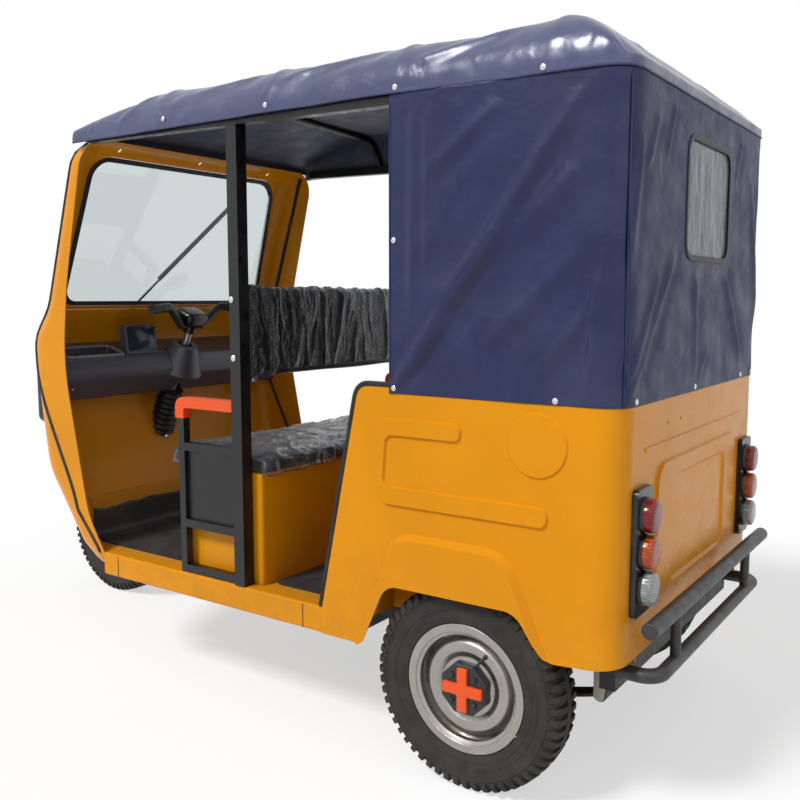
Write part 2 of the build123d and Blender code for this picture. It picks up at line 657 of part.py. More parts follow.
def above_eave(low, high):
    """Everything between two heights above the roof's lower edge."""
    front, rear = FRONT_Y, REAR_OVERHANG + 100
    return across([(front, eave(front) + low, 0), (rear, eave(rear) + low, 0), (rear, eave(rear) + high, 0),
                   (front, eave(front) + high, 0)], -HALF - 60, HALF + 60)


def roof_canvas():
    """One curved cloth skin over the hoops."""
    return (roof_form(0) - roof_form(CLOTH)) & above_eave(0, 400)


def wall_cloth():
    """The hanging cloth of both sides and the rear, before it is parted at its seams."""
    skins = []
    for depth in (0, CLOTH):
        half = ROOF_SIDE - depth
        rear = ROOF_REAR - depth
        radius = REAR_CORNER_R + SEAT_GAP + CLOTH - depth
        front = WALL_FRONT - 10 * depth
        plan = [(-half, front, 0), (half, front, 0), (half, rear, radius), (-half, rear, radius)]
        skins.append(upright(plan, BELT_Z - 10 * depth, EAVE_Z + 100 + 10 * depth))
    return (skins[0] - skins[1]) & above_eave(-2000, -SEAT_GAP)


cloth_wall = wall_cloth()


def side_canvas(side):
    """Hanging cloth of one side, from the doorway to the rear corner's seam."""
    cloth = cloth_wall & block((SEAM + SEAT_GAP / 2, 900), (WALL_FRONT, 900), (0, 3000))
    return cloth if side > 0 else mirrored(cloth)


def rear_canvas():
    """Hanging cloth of the rear, with its window cut."""
    reach = SEAM - SEAT_GAP / 2
    cloth = cloth_wall & block((-reach, reach), (REAR_OVERHANG - 90, 900), (0, 3000))
    return cloth - along(rectangle(*WINDOW, 40), REAR_OVERHANG - 100, REAR_OVERHANG + 100)


def rear_window():
    """Clear sheet sewn behind the cut in the rear cloth."""
    grown = [(low - 25, high + 25) for low, high in WINDOW]
    inner = ROOF_REAR - CLOTH - SEAT_GAP
    return along(rectangle(*grown, 60), inner - 2, inner)


def roof_frame():
    """Side rails, hoops and rear uprights, welded."""
    rail_x = HALF - 25
    half = UPRIGHT / 2
    low = ROOF_RAIL / 2 + CLOTH
    start, end = FRONT_Y + 614, REAR_OVERHANG - 40
    pieces = []
    depth = CLOTH + SEAT_GAP + HOOP_R
    for side in SIDES:
        x = side * rail_x
        pieces.append(beam((x, start, eave(start) - low), (x, end, eave(end) - low), ROOF_RAIL, ROOF_RAIL))
        for y in (WALL_FRONT + 22, end - ROOF_RAIL / 2):
            height = (QUARTER_TOP_Z - 60, eave(y) - low)
            pieces.append(block((x - half, x + half), (y - half, y + half), height))
    tie = Vector(rail_x, end - ROOF_RAIL / 2, eave(end) - low)
    pieces.append(beam((-tie.X, tie.Y, tie.Z), tie, ROOF_RAIL, ROOF_RAIL))
    hoop = inset(roof_section(EAVE_Z - 100), depth)
    right, left = hoop[4][:2], hoop[2][:2]
    crown = hoop[3][:2]
    for y in HOOP_Y:
        foot = eave(y) - low
        points = [(right[0], y, foot), (right[0], y, right[1]), (crown[0], y, crown[1]),
                  (left[0], y, left[1]), (left[0], y, foot)]
        path = FilletPolyline(*points, radius=[hoop[4][2], hoop[3][2], hoop[2][2]])
        pieces.append(sweep(Plane(path @ 0, z_dir=path % 0) * Circle(HOOP_R), path=path))
    return fused(pieces)


# Tail lamps: a plate with three round lenses each side
LAMP_PLATE = ((400.0, 505.0), (520.0, 820.0))    # x, z
LENS_Z = (756.0, 670.0, 584.0)
LENS_R = 39.0
LENS_REACH = 44.0         # lens face ahead of the panel
PLATE_T = 14.0


def tail_lamp(side):
    """Backing plate with three domed lenses."""
    face = REAR_OVERHANG + SEAT_GAP
    plate = along(rectangle(*LAMP_PLATE, 14), face, face + PLATE_T)
    x = sum(LAMP_PLATE[0]) / 2
    lenses = []
    for z in LENS_Z:
        lens = rod((x, face + PLATE_T - 4, z), (x, face + LENS_REACH, z), LENS_R)
        lenses.append(fillet(lens.edges().group_by(Axis.Y)[-1], 14))
    lamp = fused([plate] + lenses)
    return lamp if side > 0 else mirrored(lamp)


# Chassis: two rails, cross members, the steering head and the spring brackets
RAIL_X = 330.0
RAIL_W = 50.0
RAIL_TOP = FLOOR_Z - SHEET
RAIL_FOOT = RAIL_TOP - 70
SPRING_X = 395.0
SPRING_W = 50.0
EYE_Y = 305.0
EYE_R = 18.0
PIN_R = 8.0
LEAF = 8.0
LEAF_R = 1022.0
AXLE_TUBE_R = 30.0
LEAF_TOP = AXLE_Z - AXLE_TUBE_R - SEAT_GAP
EYE_Z = LEAF_TOP + LEAF_R - LEAF - math.sqrt((LEAF_R - LEAF / 2) ** 2 - EYE_Y ** 2)
SHACKLE_RISE = 66.0
LINK_R = 14.0             # half-width of a shackle link
EAR_T = 6.0               # plate of the spring's front bracket
PAD_HALF = 30.0           # half-length of the spring's pad under the axle
CROSS_Y = (FRONT_Y + 662, FRONT_Y + 1040, -480.0, REAR_OVERHANG - 60)


def chassis_frame():
    """Welded frame of tubes, with the bored steering head and the spring brackets."""
    rail_z = (RAIL_FOOT, RAIL_TOP)
    middle = (RAIL_FOOT + RAIL_TOP) / 2
    pieces = []
    for side in SIDES:
        x = sorted((side * (RAIL_X - RAIL_W / 2), side * (RAIL_X + RAIL_W / 2)))
        pieces.append(block(x, (CROSS_Y[0] - 20, CROSS_Y[-1] + 20), rail_z))
        neck = [(side * RAIL_X, CROSS_Y[0], middle), (side * 150, FRONT_Y + 520, RAIL_FOOT + 20),
                (side * 60, FRONT_Y + 447, FLOOR_Z - 36), (side * 36, FRONT_Y + 257, FLOOR_Z + 222),
                (side * 18, FRONT_Y + 222, FLOOR_Z + 262)]
        pieces.append(bent_tube(neck, 17, 30))
        reach = SPRING_W / 2 + SEAT_GAP
        ears = [SPRING_X - reach - EAR_T, SPRING_X + reach]
        ear_y = (-EYE_Y - 22, -EYE_Y + 22)
        for ear in ears:
            ear_x = sorted((side * ear, side * (ear + EAR_T)))
            pieces.append(block(ear_x, ear_y, (EYE_Z - 24, RAIL_TOP)))
        bridge = sorted((side * RAIL_X, side * (ears[1] + EAR_T)))
        pieces.append(block(bridge, ear_y, (EYE_Z + EYE_R + 12, RAIL_TOP)))
        pieces.append(rod((side * (ears[0] + 1), -EYE_Y, EYE_Z), (side * (ears[1] + 5), -EYE_Y, EYE_Z), PIN_R))
        barrel = sorted((side * (SPRING_X - SPRING_W / 2), side * (SPRING_X + SPRING_W / 2)))
        pin_z = EYE_Z + SHACKLE_RISE
        pieces.append(rod((barrel[0], EYE_Y, pin_z), (barrel[1], EYE_Y, pin_z), EYE_R))
        pieces.append(block(barrel, (EYE_Y - EYE_R, EYE_Y + EYE_R), (pin_z, RAIL_TOP)))
        shelf = sorted((side * RAIL_X, side * (SPRING_X + SPRING_W / 2)))
        pieces.append(block(shelf, (EYE_Y - EYE_R, EYE_Y + EYE_R), (pin_z + LINK_R + 4, RAIL_TOP)))
    for y in CROSS_Y[:-1]:
        pieces.append(block((-RAIL_X, RAIL_X), (y - 20, y + 20), rail_z))
    last = BUMPER_ARM_X + 15
    pieces.append(block((-last, last), (CROSS_Y[-1] - 20, CROSS_Y[-1] + 20), rail_z))
    pieces.append(rod(steer_point(HEAD_TUBE_RISE[0]), steer_point(HEAD_TUBE_RISE[1]), HEAD_TUBE_R))
    frame = fused(pieces) - rod(steer_point(300), steer_point(800), STEM_R + SHAFT_GAP)
    bores = [rod((side * (SPRING_X - SPRING_W / 2 - 7), EYE_Y, EYE_Z + SHACKLE_RISE),
                 (side * (SPRING_X + SPRING_W / 2 + 7), EYE_Y, EYE_Z + SHACKLE_RISE), PIN_R + SEAT_GAP)
             for side in SIDES]
    return frame - bores[0] - bores[1]


LEAF_HALVES = (EYE_Y, 225.0, 145.0)


def leaf_spring(side):
    """Three curved leaves with rolled eyes, the longest on top."""
    centre_z = LEAF_TOP + LEAF_R - LEAF
    x = side * SPRING_X - SPRING_W / 2
    leaves = []
    for i, half in enumerate(LEAF_HALVES):
        outer = LEAF_R + i * LEAF
        ring = Pos(0, centre_z) * (Circle(outer) - Circle(outer - LEAF))
        window = Pos(0, LEAF_TOP) * Rectangle(2 * half, 400)
        leaves.append(extrude(Plane.YZ.offset(x) * (ring & window), amount=SPRING_W))
    for y in (-EYE_Y, EYE_Y):
        leaves.append(rod((x, y, EYE_Z), (x + SPRING_W, y, EYE_Z), EYE_R))
    spring = fused(leaves)
    for y in (-EYE_Y, EYE_Y):
        spring = spring - rod((x - 1, y, EYE_Z), (x + SPRING_W + 1, y, EYE_Z), PIN_R + SEAT_GAP)
    return spring


def spring_shackle(side):
    """Two links and two pins from the spring's rear eye to the frame."""
    x = side * SPRING_X
    reach = SPRING_W / 2 + SEAT_GAP
    heights = (EYE_Z, EYE_Z + SHACKLE_RISE)
    link = rectangle((EYE_Y - LINK_R, EYE_Y + LINK_R), (heights[0] - LINK_R, heights[1] + LINK_R), LINK_R - 1)
    pieces = [across(link, x + reach, x + reach + 6), across(link, x - reach - 6, x - reach)]
    pieces += [rod((x - reach - 1, EYE_Y, z), (x + reach + 1, EYE_Y, z), PIN_R) for z in heights]
    return fused(pieces)


# Rear axle, motor and battery
BACKPLATE_X = REAR_WHEEL_X - 75
MOTOR_R = 84.0


def rear_axle():
    """Axle tube, gear case, motor, spring pads, brake plates and stub shafts."""
    tube = rod((-BACKPLATE_X, 0, AXLE_Z), (BACKPLATE_X, 0, AXLE_Z), AXLE_TUBE_R)
    case = rod((-30, 0, AXLE_Z), (100, 0, AXLE_Z), 92)
    case = fillet(case.edges(), 26)
    motor = rod((-150, 140, AXLE_Z + 30), (85, 140, AXLE_Z + 30), MOTOR_R)
    motor = fillet(motor.edges(), 14)
    pieces = [tube, case, motor]
    shaft_end = REAR_WHEEL_X + 28
    for side in SIDES:
        pieces.append(rod((side * (BACKPLATE_X - 6), 0, AXLE_Z), (side * BACKPLATE_X, 0, AXLE_Z), DRUM_R))
        shaft = rod((side * (BACKPLATE_X - 2), 0, AXLE_Z), (side * shaft_end, 0, AXLE_Z), AXLE_R - SHAFT_GAP)
        pieces.append(shaft)
        pad_x = sorted((side * (SPRING_X - SPRING_W / 2), side * (SPRING_X + SPRING_W / 2)))
        pad_foot = LEAF_TOP + PAD_HALF ** 2 / (2 * LEAF_R) + SEAT_GAP
        pieces.append(block(pad_x, (-PAD_HALF, PAD_HALF), (pad_foot, AXLE_Z)))
    return fused(pieces)


BATTERY_Y = (CROSS_Y[1] + 20 + SEAT_GAP, CROSS_Y[2] - 20 - SEAT_GAP)
BATTERY_Z = (232.0, RAIL_TOP - 4)


def battery_box():
    """Plain closed battery case slung between the rails."""
    half = RAIL_X - RAIL_W / 2 - SEAT_GAP
    box = block((-half, half), BATTERY_Y, BATTERY_Z)
    return fillet(box.edges().filter_by(Axis.X), 12)


# Rear bumper: an upper tube on two uprights from a lower tube
BUMPER_HALF = 520.0
BUMPER_Z = (372.0, 505.0)
BUMPER_ARM_X = 455.0
BUMPER_POST_X = 325.0
BUMPER_POST_R = 13.0


def rear_bumper():
    """Two tubes with their uprights, turned forward to the frame's last cross member."""
    low, high = BUMPER_Z
    start = CROSS_Y[-1] + 20
    route = [(-BUMPER_ARM_X, start, low), (-BUMPER_ARM_X, BUMPER_Y, low), (BUMPER_ARM_X, BUMPER_Y, low),
             (BUMPER_ARM_X, start, low)]
    lower = bent_tube(route, BUMPER_R - 2, 45)
    upper = fillet(rod((-BUMPER_HALF, BUMPER_Y, high), (BUMPER_HALF, BUMPER_Y, high), BUMPER_R).edges(), 4)
    posts = [rod((side * BUMPER_POST_X, BUMPER_Y, low), (side * BUMPER_POST_X, BUMPER_Y, high), BUMPER_POST_R)
             for side in SIDES]
    return fused([lower, upper] + posts)


# Wheels, made about x = 0 with the outer side at +x
DRUM_BACK = -68.0
HUB_FACE = 26.0
CAP_T = 26.0
CROSS_T = 10.0
CROSS_W = 26.0
CROSS_SPAN = 112.0


def turned(corners, arc=360.0):
    """Turn an outline given in (x, radius) about the wheel's axis."""
    return revolve(Plane.XZ * outline(corners), axis=Axis.X, revolution_arc=arc)


def tyre():
    """Tyre with bulged walls, square shoulders and a bead in the rim."""
    half = TYRE_W / 2
    bead = RIM_W / 2 - 4.5
    inner = RIM_BARREL_R + SEAT_GAP
    wall = TYRE_R - RIM_FLANGE_R
    swell = 0.4 * wall
    bulge = RIM_FLANGE_R + swell
    return turned([(-bead, inner, 0), (bead, inner, 0), (bead, RIM_FLANGE_R + 3, 4), (half, bulge, swell),
                   (half - 5, TYRE_R - 12, 10), (half - 20, TYRE_R, 8), (20 - half, TYRE_R, 8),
                   (5 - half, TYRE_R - 12, 10), (-half, bulge, swell), (-bead, RIM_FLANGE_R + 3, 4)])


def rim():
    """Pressed steel rim with a dished disc."""
    half = RIM_W / 2
    barrel = turned([(-half, RIM_FLANGE_R, 1.5), (4 - half, RIM_FLANGE_R, 1.5), (4 - half, RIM_BARREL_R, 0),
                     (half - 4, RIM_BARREL_R, 0), (half - 4, RIM_FLANGE_R, 1.5), (half, RIM_FLANGE_R, 1.5),
                     (half, RIM_BARREL_R - 6, 3), (-half, RIM_BARREL_R - 6, 3)])
    inside = RIM_BARREL_R - 5
    ledge = turned([(half - 12, inside, 0), (half - 3, inside, 0), (half - 9, inside - 10, 3),
                    (half - 22, inside - 10, 3), (half - 26, inside, 0)])
    disc = turned([(2, RIM_BARREL_R - 4, 0), (10, RIM_BARREL_R - 4, 0), (13, RIM_BARREL_R - 22, 4),
                   (32, RIM_BARREL_R - 38, 12), (31, RIM_BARREL_R - 60, 8), (22, HUB_R + 14, 6),
                   (26, HUB_R + 0.5, 0), (20, HUB_R + 0.5, 0), (16, HUB_R + 14, 6),
                   (25, RIM_BARREL_R - 58, 6), (25, RIM_BARREL_R - 40, 8), (8, RIM_BARREL_R - 20, 4)])
    return fused([barrel, ledge, disc])


def rear_hub():
    """Brake drum, hub barrel and eight-sided cap with a raised cross, bored for the stub shaft."""
    drum = turned([(DRUM_BACK, 0, 0), (-16, 0, 0), (-16, DRUM_R, 6), (DRUM_BACK, DRUM_R, 2)])
    barrel = turned([(-17, 0, 0), (HUB_FACE, 0, 0), (HUB_FACE, HUB_R, 0), (-17, HUB_R, 0)])
    cap = extrude(Plane.YZ.offset(HUB_FACE + 0.2) * RegularPolygon(HUB_R + 8, 8, rotation=22.5), amount=CAP_T)
    cap = fillet(cap.faces().sort_by(Axis.X)[-1].edges(), 5)
    neck = rod((HUB_FACE - 1, 0, 0), (HUB_FACE + 1, 0, 0), 40)
    top = HUB_FACE + CAP_T + CROSS_T / 2 - 3
    cross = [Pos(top, 0, 0) * Rot(turn, 0, 0) * Box(CROSS_T, CROSS_W, CROSS_SPAN) for turn in (0, 90)]
    hub = fused([drum, barrel, cap, neck] + cross)
    return hub - rod((DRUM_BACK - 10, 0, 0), (HUB_FACE + 4, 0, 0), AXLE_R)


def front_hub():
    """Plain hub barrel between the fork legs, bored for the axle."""
    reach = FORK_LEG_X - FORK_LEG_R - 6
    return turned([(-reach, AXLE_R, 0), (reach, AXLE_R, 0), (reach, HUB_R - 22, 3), (30, HUB_R, 4),
                   (-30, HUB_R, 4), (-reach, HUB_R - 22, 3)])


# Fork, handlebar and mudguard, all turning about the steering axis
SLIDER_R = 25.0
STEM_TOP = BAR_RISE - 26
BAR_POINTS = [                                   # side, rise, ahead
    (45.0, BAR_RISE, 0.0),
    (128.0, BAR_RISE + 80, 4.0),
    (262.0, BAR_RISE + 100, -56.0),
]
LEVER_POINTS = [(118.0, BAR_RISE + 58, 6.0), (132.0, BAR_RISE + 62, 34.0), (252.0, BAR_RISE + 72, -40.0)]
BAR_BEND = 36.0
GRIP_LENGTH = 112.0


def front_fork():
    """Two legs with sliders, a crown, the stem and the wheel's axle."""
    pieces = []
    for side in SIDES:
        foot = steer_point(-38, FORK_OFFSET, side * FORK_LEG_X)
        pieces.append(rod(foot, steer_point(CROWN_RISE + 20, FORK_OFFSET, side * FORK_LEG_X), FORK_LEG_R))
        pieces.append(rod(foot, steer_point(170, FORK_OFFSET, side * FORK_LEG_X), SLIDER_R))
    wide = FORK_LEG_X + 27
    crown = [(-wide, 24 - FORK_OFFSET, 22), (-30, 34, 20), (30, 34, 20), (wide, 24 - FORK_OFFSET, 22),
             (wide, -27 - FORK_OFFSET, 22), (-wide, -27 - FORK_OFFSET, 22)]
    level = Plane(steer_point(CROWN_RISE), x_dir=(1, 0, 0), z_dir=U)
    pieces.append(extrude(level * outline(crown), amount=34))
    pieces.append(rod(steer_point(CROWN_RISE), steer_point(STEM_TOP), STEM_R))
    reach = FORK_LEG_X + SLIDER_R + 8
    pieces.append(rod((-reach, FRONT_Y, AXLE_Z), (reach, FRONT_Y, AXLE_Z), AXLE_R - SHAFT_GAP))
    return fused(pieces)


def bar_point(side, row):
    """A point of the handlebar on one side."""
    reach, rise, ahead = row
    return steer_point(rise, ahead, side * reach)


def handlebar():
    """Swept-back bar in its clamp, with a lever ahead of each grip."""
    points = [bar_point(-1, row) for row in reversed(BAR_POINTS)] + [bar_point(1, row) for row in BAR_POINTS]
    pieces = [bent_tube(points, BAR_R, BAR_BEND), rod(steer_point(STEM_TOP), steer_point(BAR_RISE), 25)]
    for side in SIDES:
        pieces.append(bent_tube([bar_point(side, row) for row in LEVER_POINTS], 5, 14))
    return fused(pieces)


def grip(side):
    """Rubber sleeve over the end of the bar."""
    end = bar_point(side, BAR_POINTS[-1])
    way = (end - bar_point(side, BAR_POINTS[-2])).normalized()
    start = end - way * GRIP_LENGTH
    return rod(start, end + way * 3, GRIP_R) - rod(start - way, end, BAR_R + 0.2)


def handlebar_cover():
    """Rounded instrument housing on the handlebar's clamp."""
    level = Plane(steer_point(BAR_RISE + BAR_R + SEAT_GAP, 6), x_dir=(1, 0, 0), z_dir=U)
    housing = extrude(level * RectangleRounded(66, 84, 22), amount=46)
    return fillet(housing.faces().sort_by(Axis.Z)[-1].edges(), 9)


def front_mudguard():
    """Arched guard over the front tyre, seated between the fork legs."""
    half = FORK_LEG_X - FORK_LEG_R - SEAT_GAP
    skirt = TYRE_R - 16
    ring = outline([(-half, skirt, 0), (half, skirt, 0), (half, MUDGUARD_R, 32), (-half, MUDGUARD_R, 32)])
    wide = half - SHEET
    top = MUDGUARD_R - SHEET
    inner = outline([(-wide, skirt - 20, 0), (wide, skirt - 20, 0), (wide, top, 29), (-wide, top, 29)])
    tilt = math.radians(MUDGUARD_START)
    plane = Plane(FRONT_AXLE, x_dir=(1, 0, 0), z_dir=(0, -math.sin(tilt), math.cos(tilt)))
    arc = 180 - MUDGUARD_FRONT - MUDGUARD_START
    return revolve(plane * (ring - inner), axis=Axis(FRONT_AXLE, (1, 0, 0)), revolution_arc=arc)


# Places of the wheels
left_wheel = Pos(REAR_WHEEL_X, 0, AXLE_Z)
right_wheel = Pos(-REAR_WHEEL_X, 0, AXLE_Z) * Rot(0, 0, 180)
front_wheel = Pos(FRONT_AXLE)

tunnel = block((-TUNNEL_HALF, TUNNEL_HALF), (FRONT_Y, SILL_FRONT + 10), (0, TOE_TOP_Z - 25))
front_cowl = front_cowl - tunnel


def both(make):
    """A left and a right piece from one maker."""
    return [make(side) for side in SIDES]


cushion_x = (TUBE + 4 - HALF, HALF - TUBE - 4)
cushion_z = (SEAT_TOP_Z + SEAT_GAP, SEAT_TOP_Z + CUSHION_T)
board_x = (TUBE + SEAT_GAP - HALF, HALF - TUBE - SEAT_GAP)
board_y = (POST_Y - BOARD_T / 2, POST_Y + BOARD_T / 2)
bench_x = (45 - HALF, HALF - 45)
bench_back_x = (65 - HALF, HALF - 65)
bench_y = (BENCH_FRONT - 25, BENCH_PAD_REAR)
bench_back_y = (BENCH_PAD_REAR + 5, BENCH_PAD_REAR + 90)
bench_z = (BENCH_Z + SEAT_GAP, BENCH_Z + BENCH_PAD_T)
bench_back_z = (BENCH_Z + SEAT_GAP, BENCH_Z + BENCH_BACK_RISE)
parts = {
    "chassis_frame": [chassis_frame()],
    "battery_box": [battery_box()],
    "rear_axle": [rear_axle()],
    "leaf_springs": both(leaf_spring),
    "spring_shackles": both(spring_shackle),
    "floor_pan": [floor_pan()],
    "floor_mats": floor_mats(),
    "side_sills": both(side_sill),
    "front_cowl": [front_cowl],
    "nose_fairing": [nose_fairing()],
    "windscreen_frame": [windscreen_frame],
    "windscreen_gasket": [windscreen_gasket],
    "windscreen": [windscreen],
    "wiper": [wiper()],
    "dash_panel": [dash_panel()],
    "headlamps": both(headlamp),
    "seat_box": [seat_box()],
    "driver_cushion": [soft_block(cushion_x, CUSHION_Y, cushion_z, 16)],
    "driver_backrest": [soft_block(board_x, board_y, BOARD_Z, 14)],
    "door_posts": both(door_post),
    "door_guards": both(door_guard),
    "armrests": both(armrest),
    "quarter_panel_left": [quarter_panel(1)],
    "quarter_panel_right": [quarter_panel(-1)],
    "rear_panel": [rear_panel()],
    "bench_base": [bench_base()],
    "bench_cushion": [soft_block(bench_x, bench_y, bench_z, 24)],
    "bench_backrest": [soft_block(bench_back_x, bench_back_y, bench_back_z, 24)],
    "roof_frame": [roof_frame()],
    "roof_canvas": [roof_canvas()],
    "side_canvas_left": [side_canvas(1)],
    "side_canvas_right": [side_canvas(-1)],
    "rear_canvas": [rear_canvas()],
    "rear_window": [rear_window()],
    "tail_lamps": both(tail_lamp),
    "rear_bumper": [rear_bumper()],
    "front_fork": [front_fork()],
    "handlebar": [handlebar()],
    "handlebar_grips": both(grip),
    "handlebar_cover": [handlebar_cover()],
    "front_mudguard": [front_mudguard()],
    "front_tyre": [front_wheel * tyre()],
    "front_rim": [front_wheel * rim().fuse(front_hub())],
    "rear_tyre_left": [left_wheel * tyre()],
    "rear_rim_left": [left_wheel * rim()],
    "rear_hub_left": [left_wheel * rear_hub()],
    "rear_tyre_right": [right_wheel * tyre()],
    "rear_rim_right": [right_wheel * rim()],
    "rear_hub_right": [right_wheel * rear_hub()],
}

# One file per named piece, moved so that the origin lies on the floor under the middle of the vehicle
os.makedirs("parts", exist_ok=True)
for name, solids in parts.items():
    placed = [Pos(0, CENTRE_SHIFT, 0) * solid for solid in solids]
    export_step(placed[0] if len(placed) == 1 else Compound(children=placed), f"parts/{name}.step")
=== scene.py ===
"""Looks of an electric passenger three-wheeler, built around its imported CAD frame."""

import logging
import math
from dataclasses import dataclass
from enum import Enum
from typing import Callable, Iterable, Sequence

import bmesh
import bpy
from mathutils import Matrix, Vector, noise
from mathutils.bvhtree import BVHTree


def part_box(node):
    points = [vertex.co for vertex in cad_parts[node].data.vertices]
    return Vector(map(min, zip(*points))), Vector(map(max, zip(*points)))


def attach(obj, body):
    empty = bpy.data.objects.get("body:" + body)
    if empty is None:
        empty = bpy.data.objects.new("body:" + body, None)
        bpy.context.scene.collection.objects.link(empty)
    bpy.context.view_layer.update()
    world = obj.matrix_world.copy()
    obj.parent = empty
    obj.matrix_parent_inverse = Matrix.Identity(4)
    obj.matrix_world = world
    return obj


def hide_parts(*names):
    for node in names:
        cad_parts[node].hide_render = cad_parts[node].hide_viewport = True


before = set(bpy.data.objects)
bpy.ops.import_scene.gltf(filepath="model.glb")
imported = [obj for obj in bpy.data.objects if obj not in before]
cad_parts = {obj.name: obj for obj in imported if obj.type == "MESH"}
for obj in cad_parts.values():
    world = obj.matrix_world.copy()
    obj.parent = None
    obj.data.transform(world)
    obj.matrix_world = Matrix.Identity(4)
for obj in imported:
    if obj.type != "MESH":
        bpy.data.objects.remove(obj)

LOG = logging.getLogger("three_wheeler")
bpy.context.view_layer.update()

Colour = tuple[float, float, float]
Place = tuple[float, float, float]
Pair = tuple[float, float]
Span = tuple[Pair, Pair]
Layers = tuple[Pair, ...]
Mesh = bmesh.types.BMesh
Piece = bpy.types.Object
Socket = bpy.types.NodeSocket

TO_LEFT = Vector((1, 0, 0))
TO_REAR = Vector((0, 1, 0))
TO_FRONT = Vector((0, -1, 0))
UP = Vector((0, 0, 1))
MIRROR = Vector((-1, 1, 1))
QUARTER = math.pi / 2
WELD = 1e-5


class Body(Enum):
    """The moving bodies that a piece can ride on."""

    SHELL = "body"
    STEERING = "steering"
    FRONT_WHEEL = "front_wheel"
    LEFT_WHEEL = "rear_wheel_left"
    RIGHT_WHEEL = "rear_wheel_right"


class Coordinates(Enum):
    """Where a pattern takes its place from."""

    OBJECT = "Object"
    CLOTH = "UV"


class Side(Enum):
    """The two sides of the vehicle, as the sign of x."""

    LEFT = 1
    RIGHT = -1

    @property
    def label(self) -> str:
        """The side as the names of pieces give it."""
        return self.name.lower()

    @property
    def way(self) -> Vector:
        """The outward way on this side."""
        return TO_LEFT * self.value


def axle_line() -> float:
    """The rear axle's y in the frame, from which lengthways places are given."""
    low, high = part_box("rear_tyre_left")
    return (low.y + high.y) / 2


AXLE_Y = axle_line()


def spot(x: float, y: float, z: float) -> Vector:
    """A place given from the rear axle, in the frame."""
    return Vector((x, y + AXLE_Y, z))


def srgb(*levels: int) -> Colour:
    """A display colour of three bytes as linear values.

    Args:
        *levels: Red, green and blue bytes.

    Returns:
        The three linear values.
    """
    def linear(byte: int) -> float:
        """One byte as a linear value."""
        share = byte / 255
        return share / 12.92 if share <= 0.04045 else ((share + 0.055) / 1.055) ** 2.4
    return tuple(linear(byte) for byte in levels)


def shade(colour: Colour, amount: float) -> Colour:
    """The same colour, lighter or darker."""
    return tuple(min(1.0, part * amount) for part in colour)


def ease(value: float, low: float, high: float) -> float:
    """A smooth step from 0 at low to 1 at high."""
    share = min(1.0, max(0.0, (value - low) / (high - low)))
    return share * share * (3 - 2 * share)


def soft_min(first: float, second: float, reach: float) -> float:
    """The lower of two values, rounded where they are closer than reach."""
    share = max(reach - abs(first - second), 0.0) / reach
    return min(first, second) - share * share * reach / 4


def ripple(place: Vector, scale: float) -> float:
    """Smooth noise from -1 to 1 that is the same each time."""
    return noise.noise(place * scale, noise_basis="PERLIN_ORIGINAL")


def crumple(place: Vector, layers: Layers) -> float:
    """Layers of smooth noise, each with its height and its features per metre."""
    return sum(height * ripple(place, scale) for height, scale in layers)


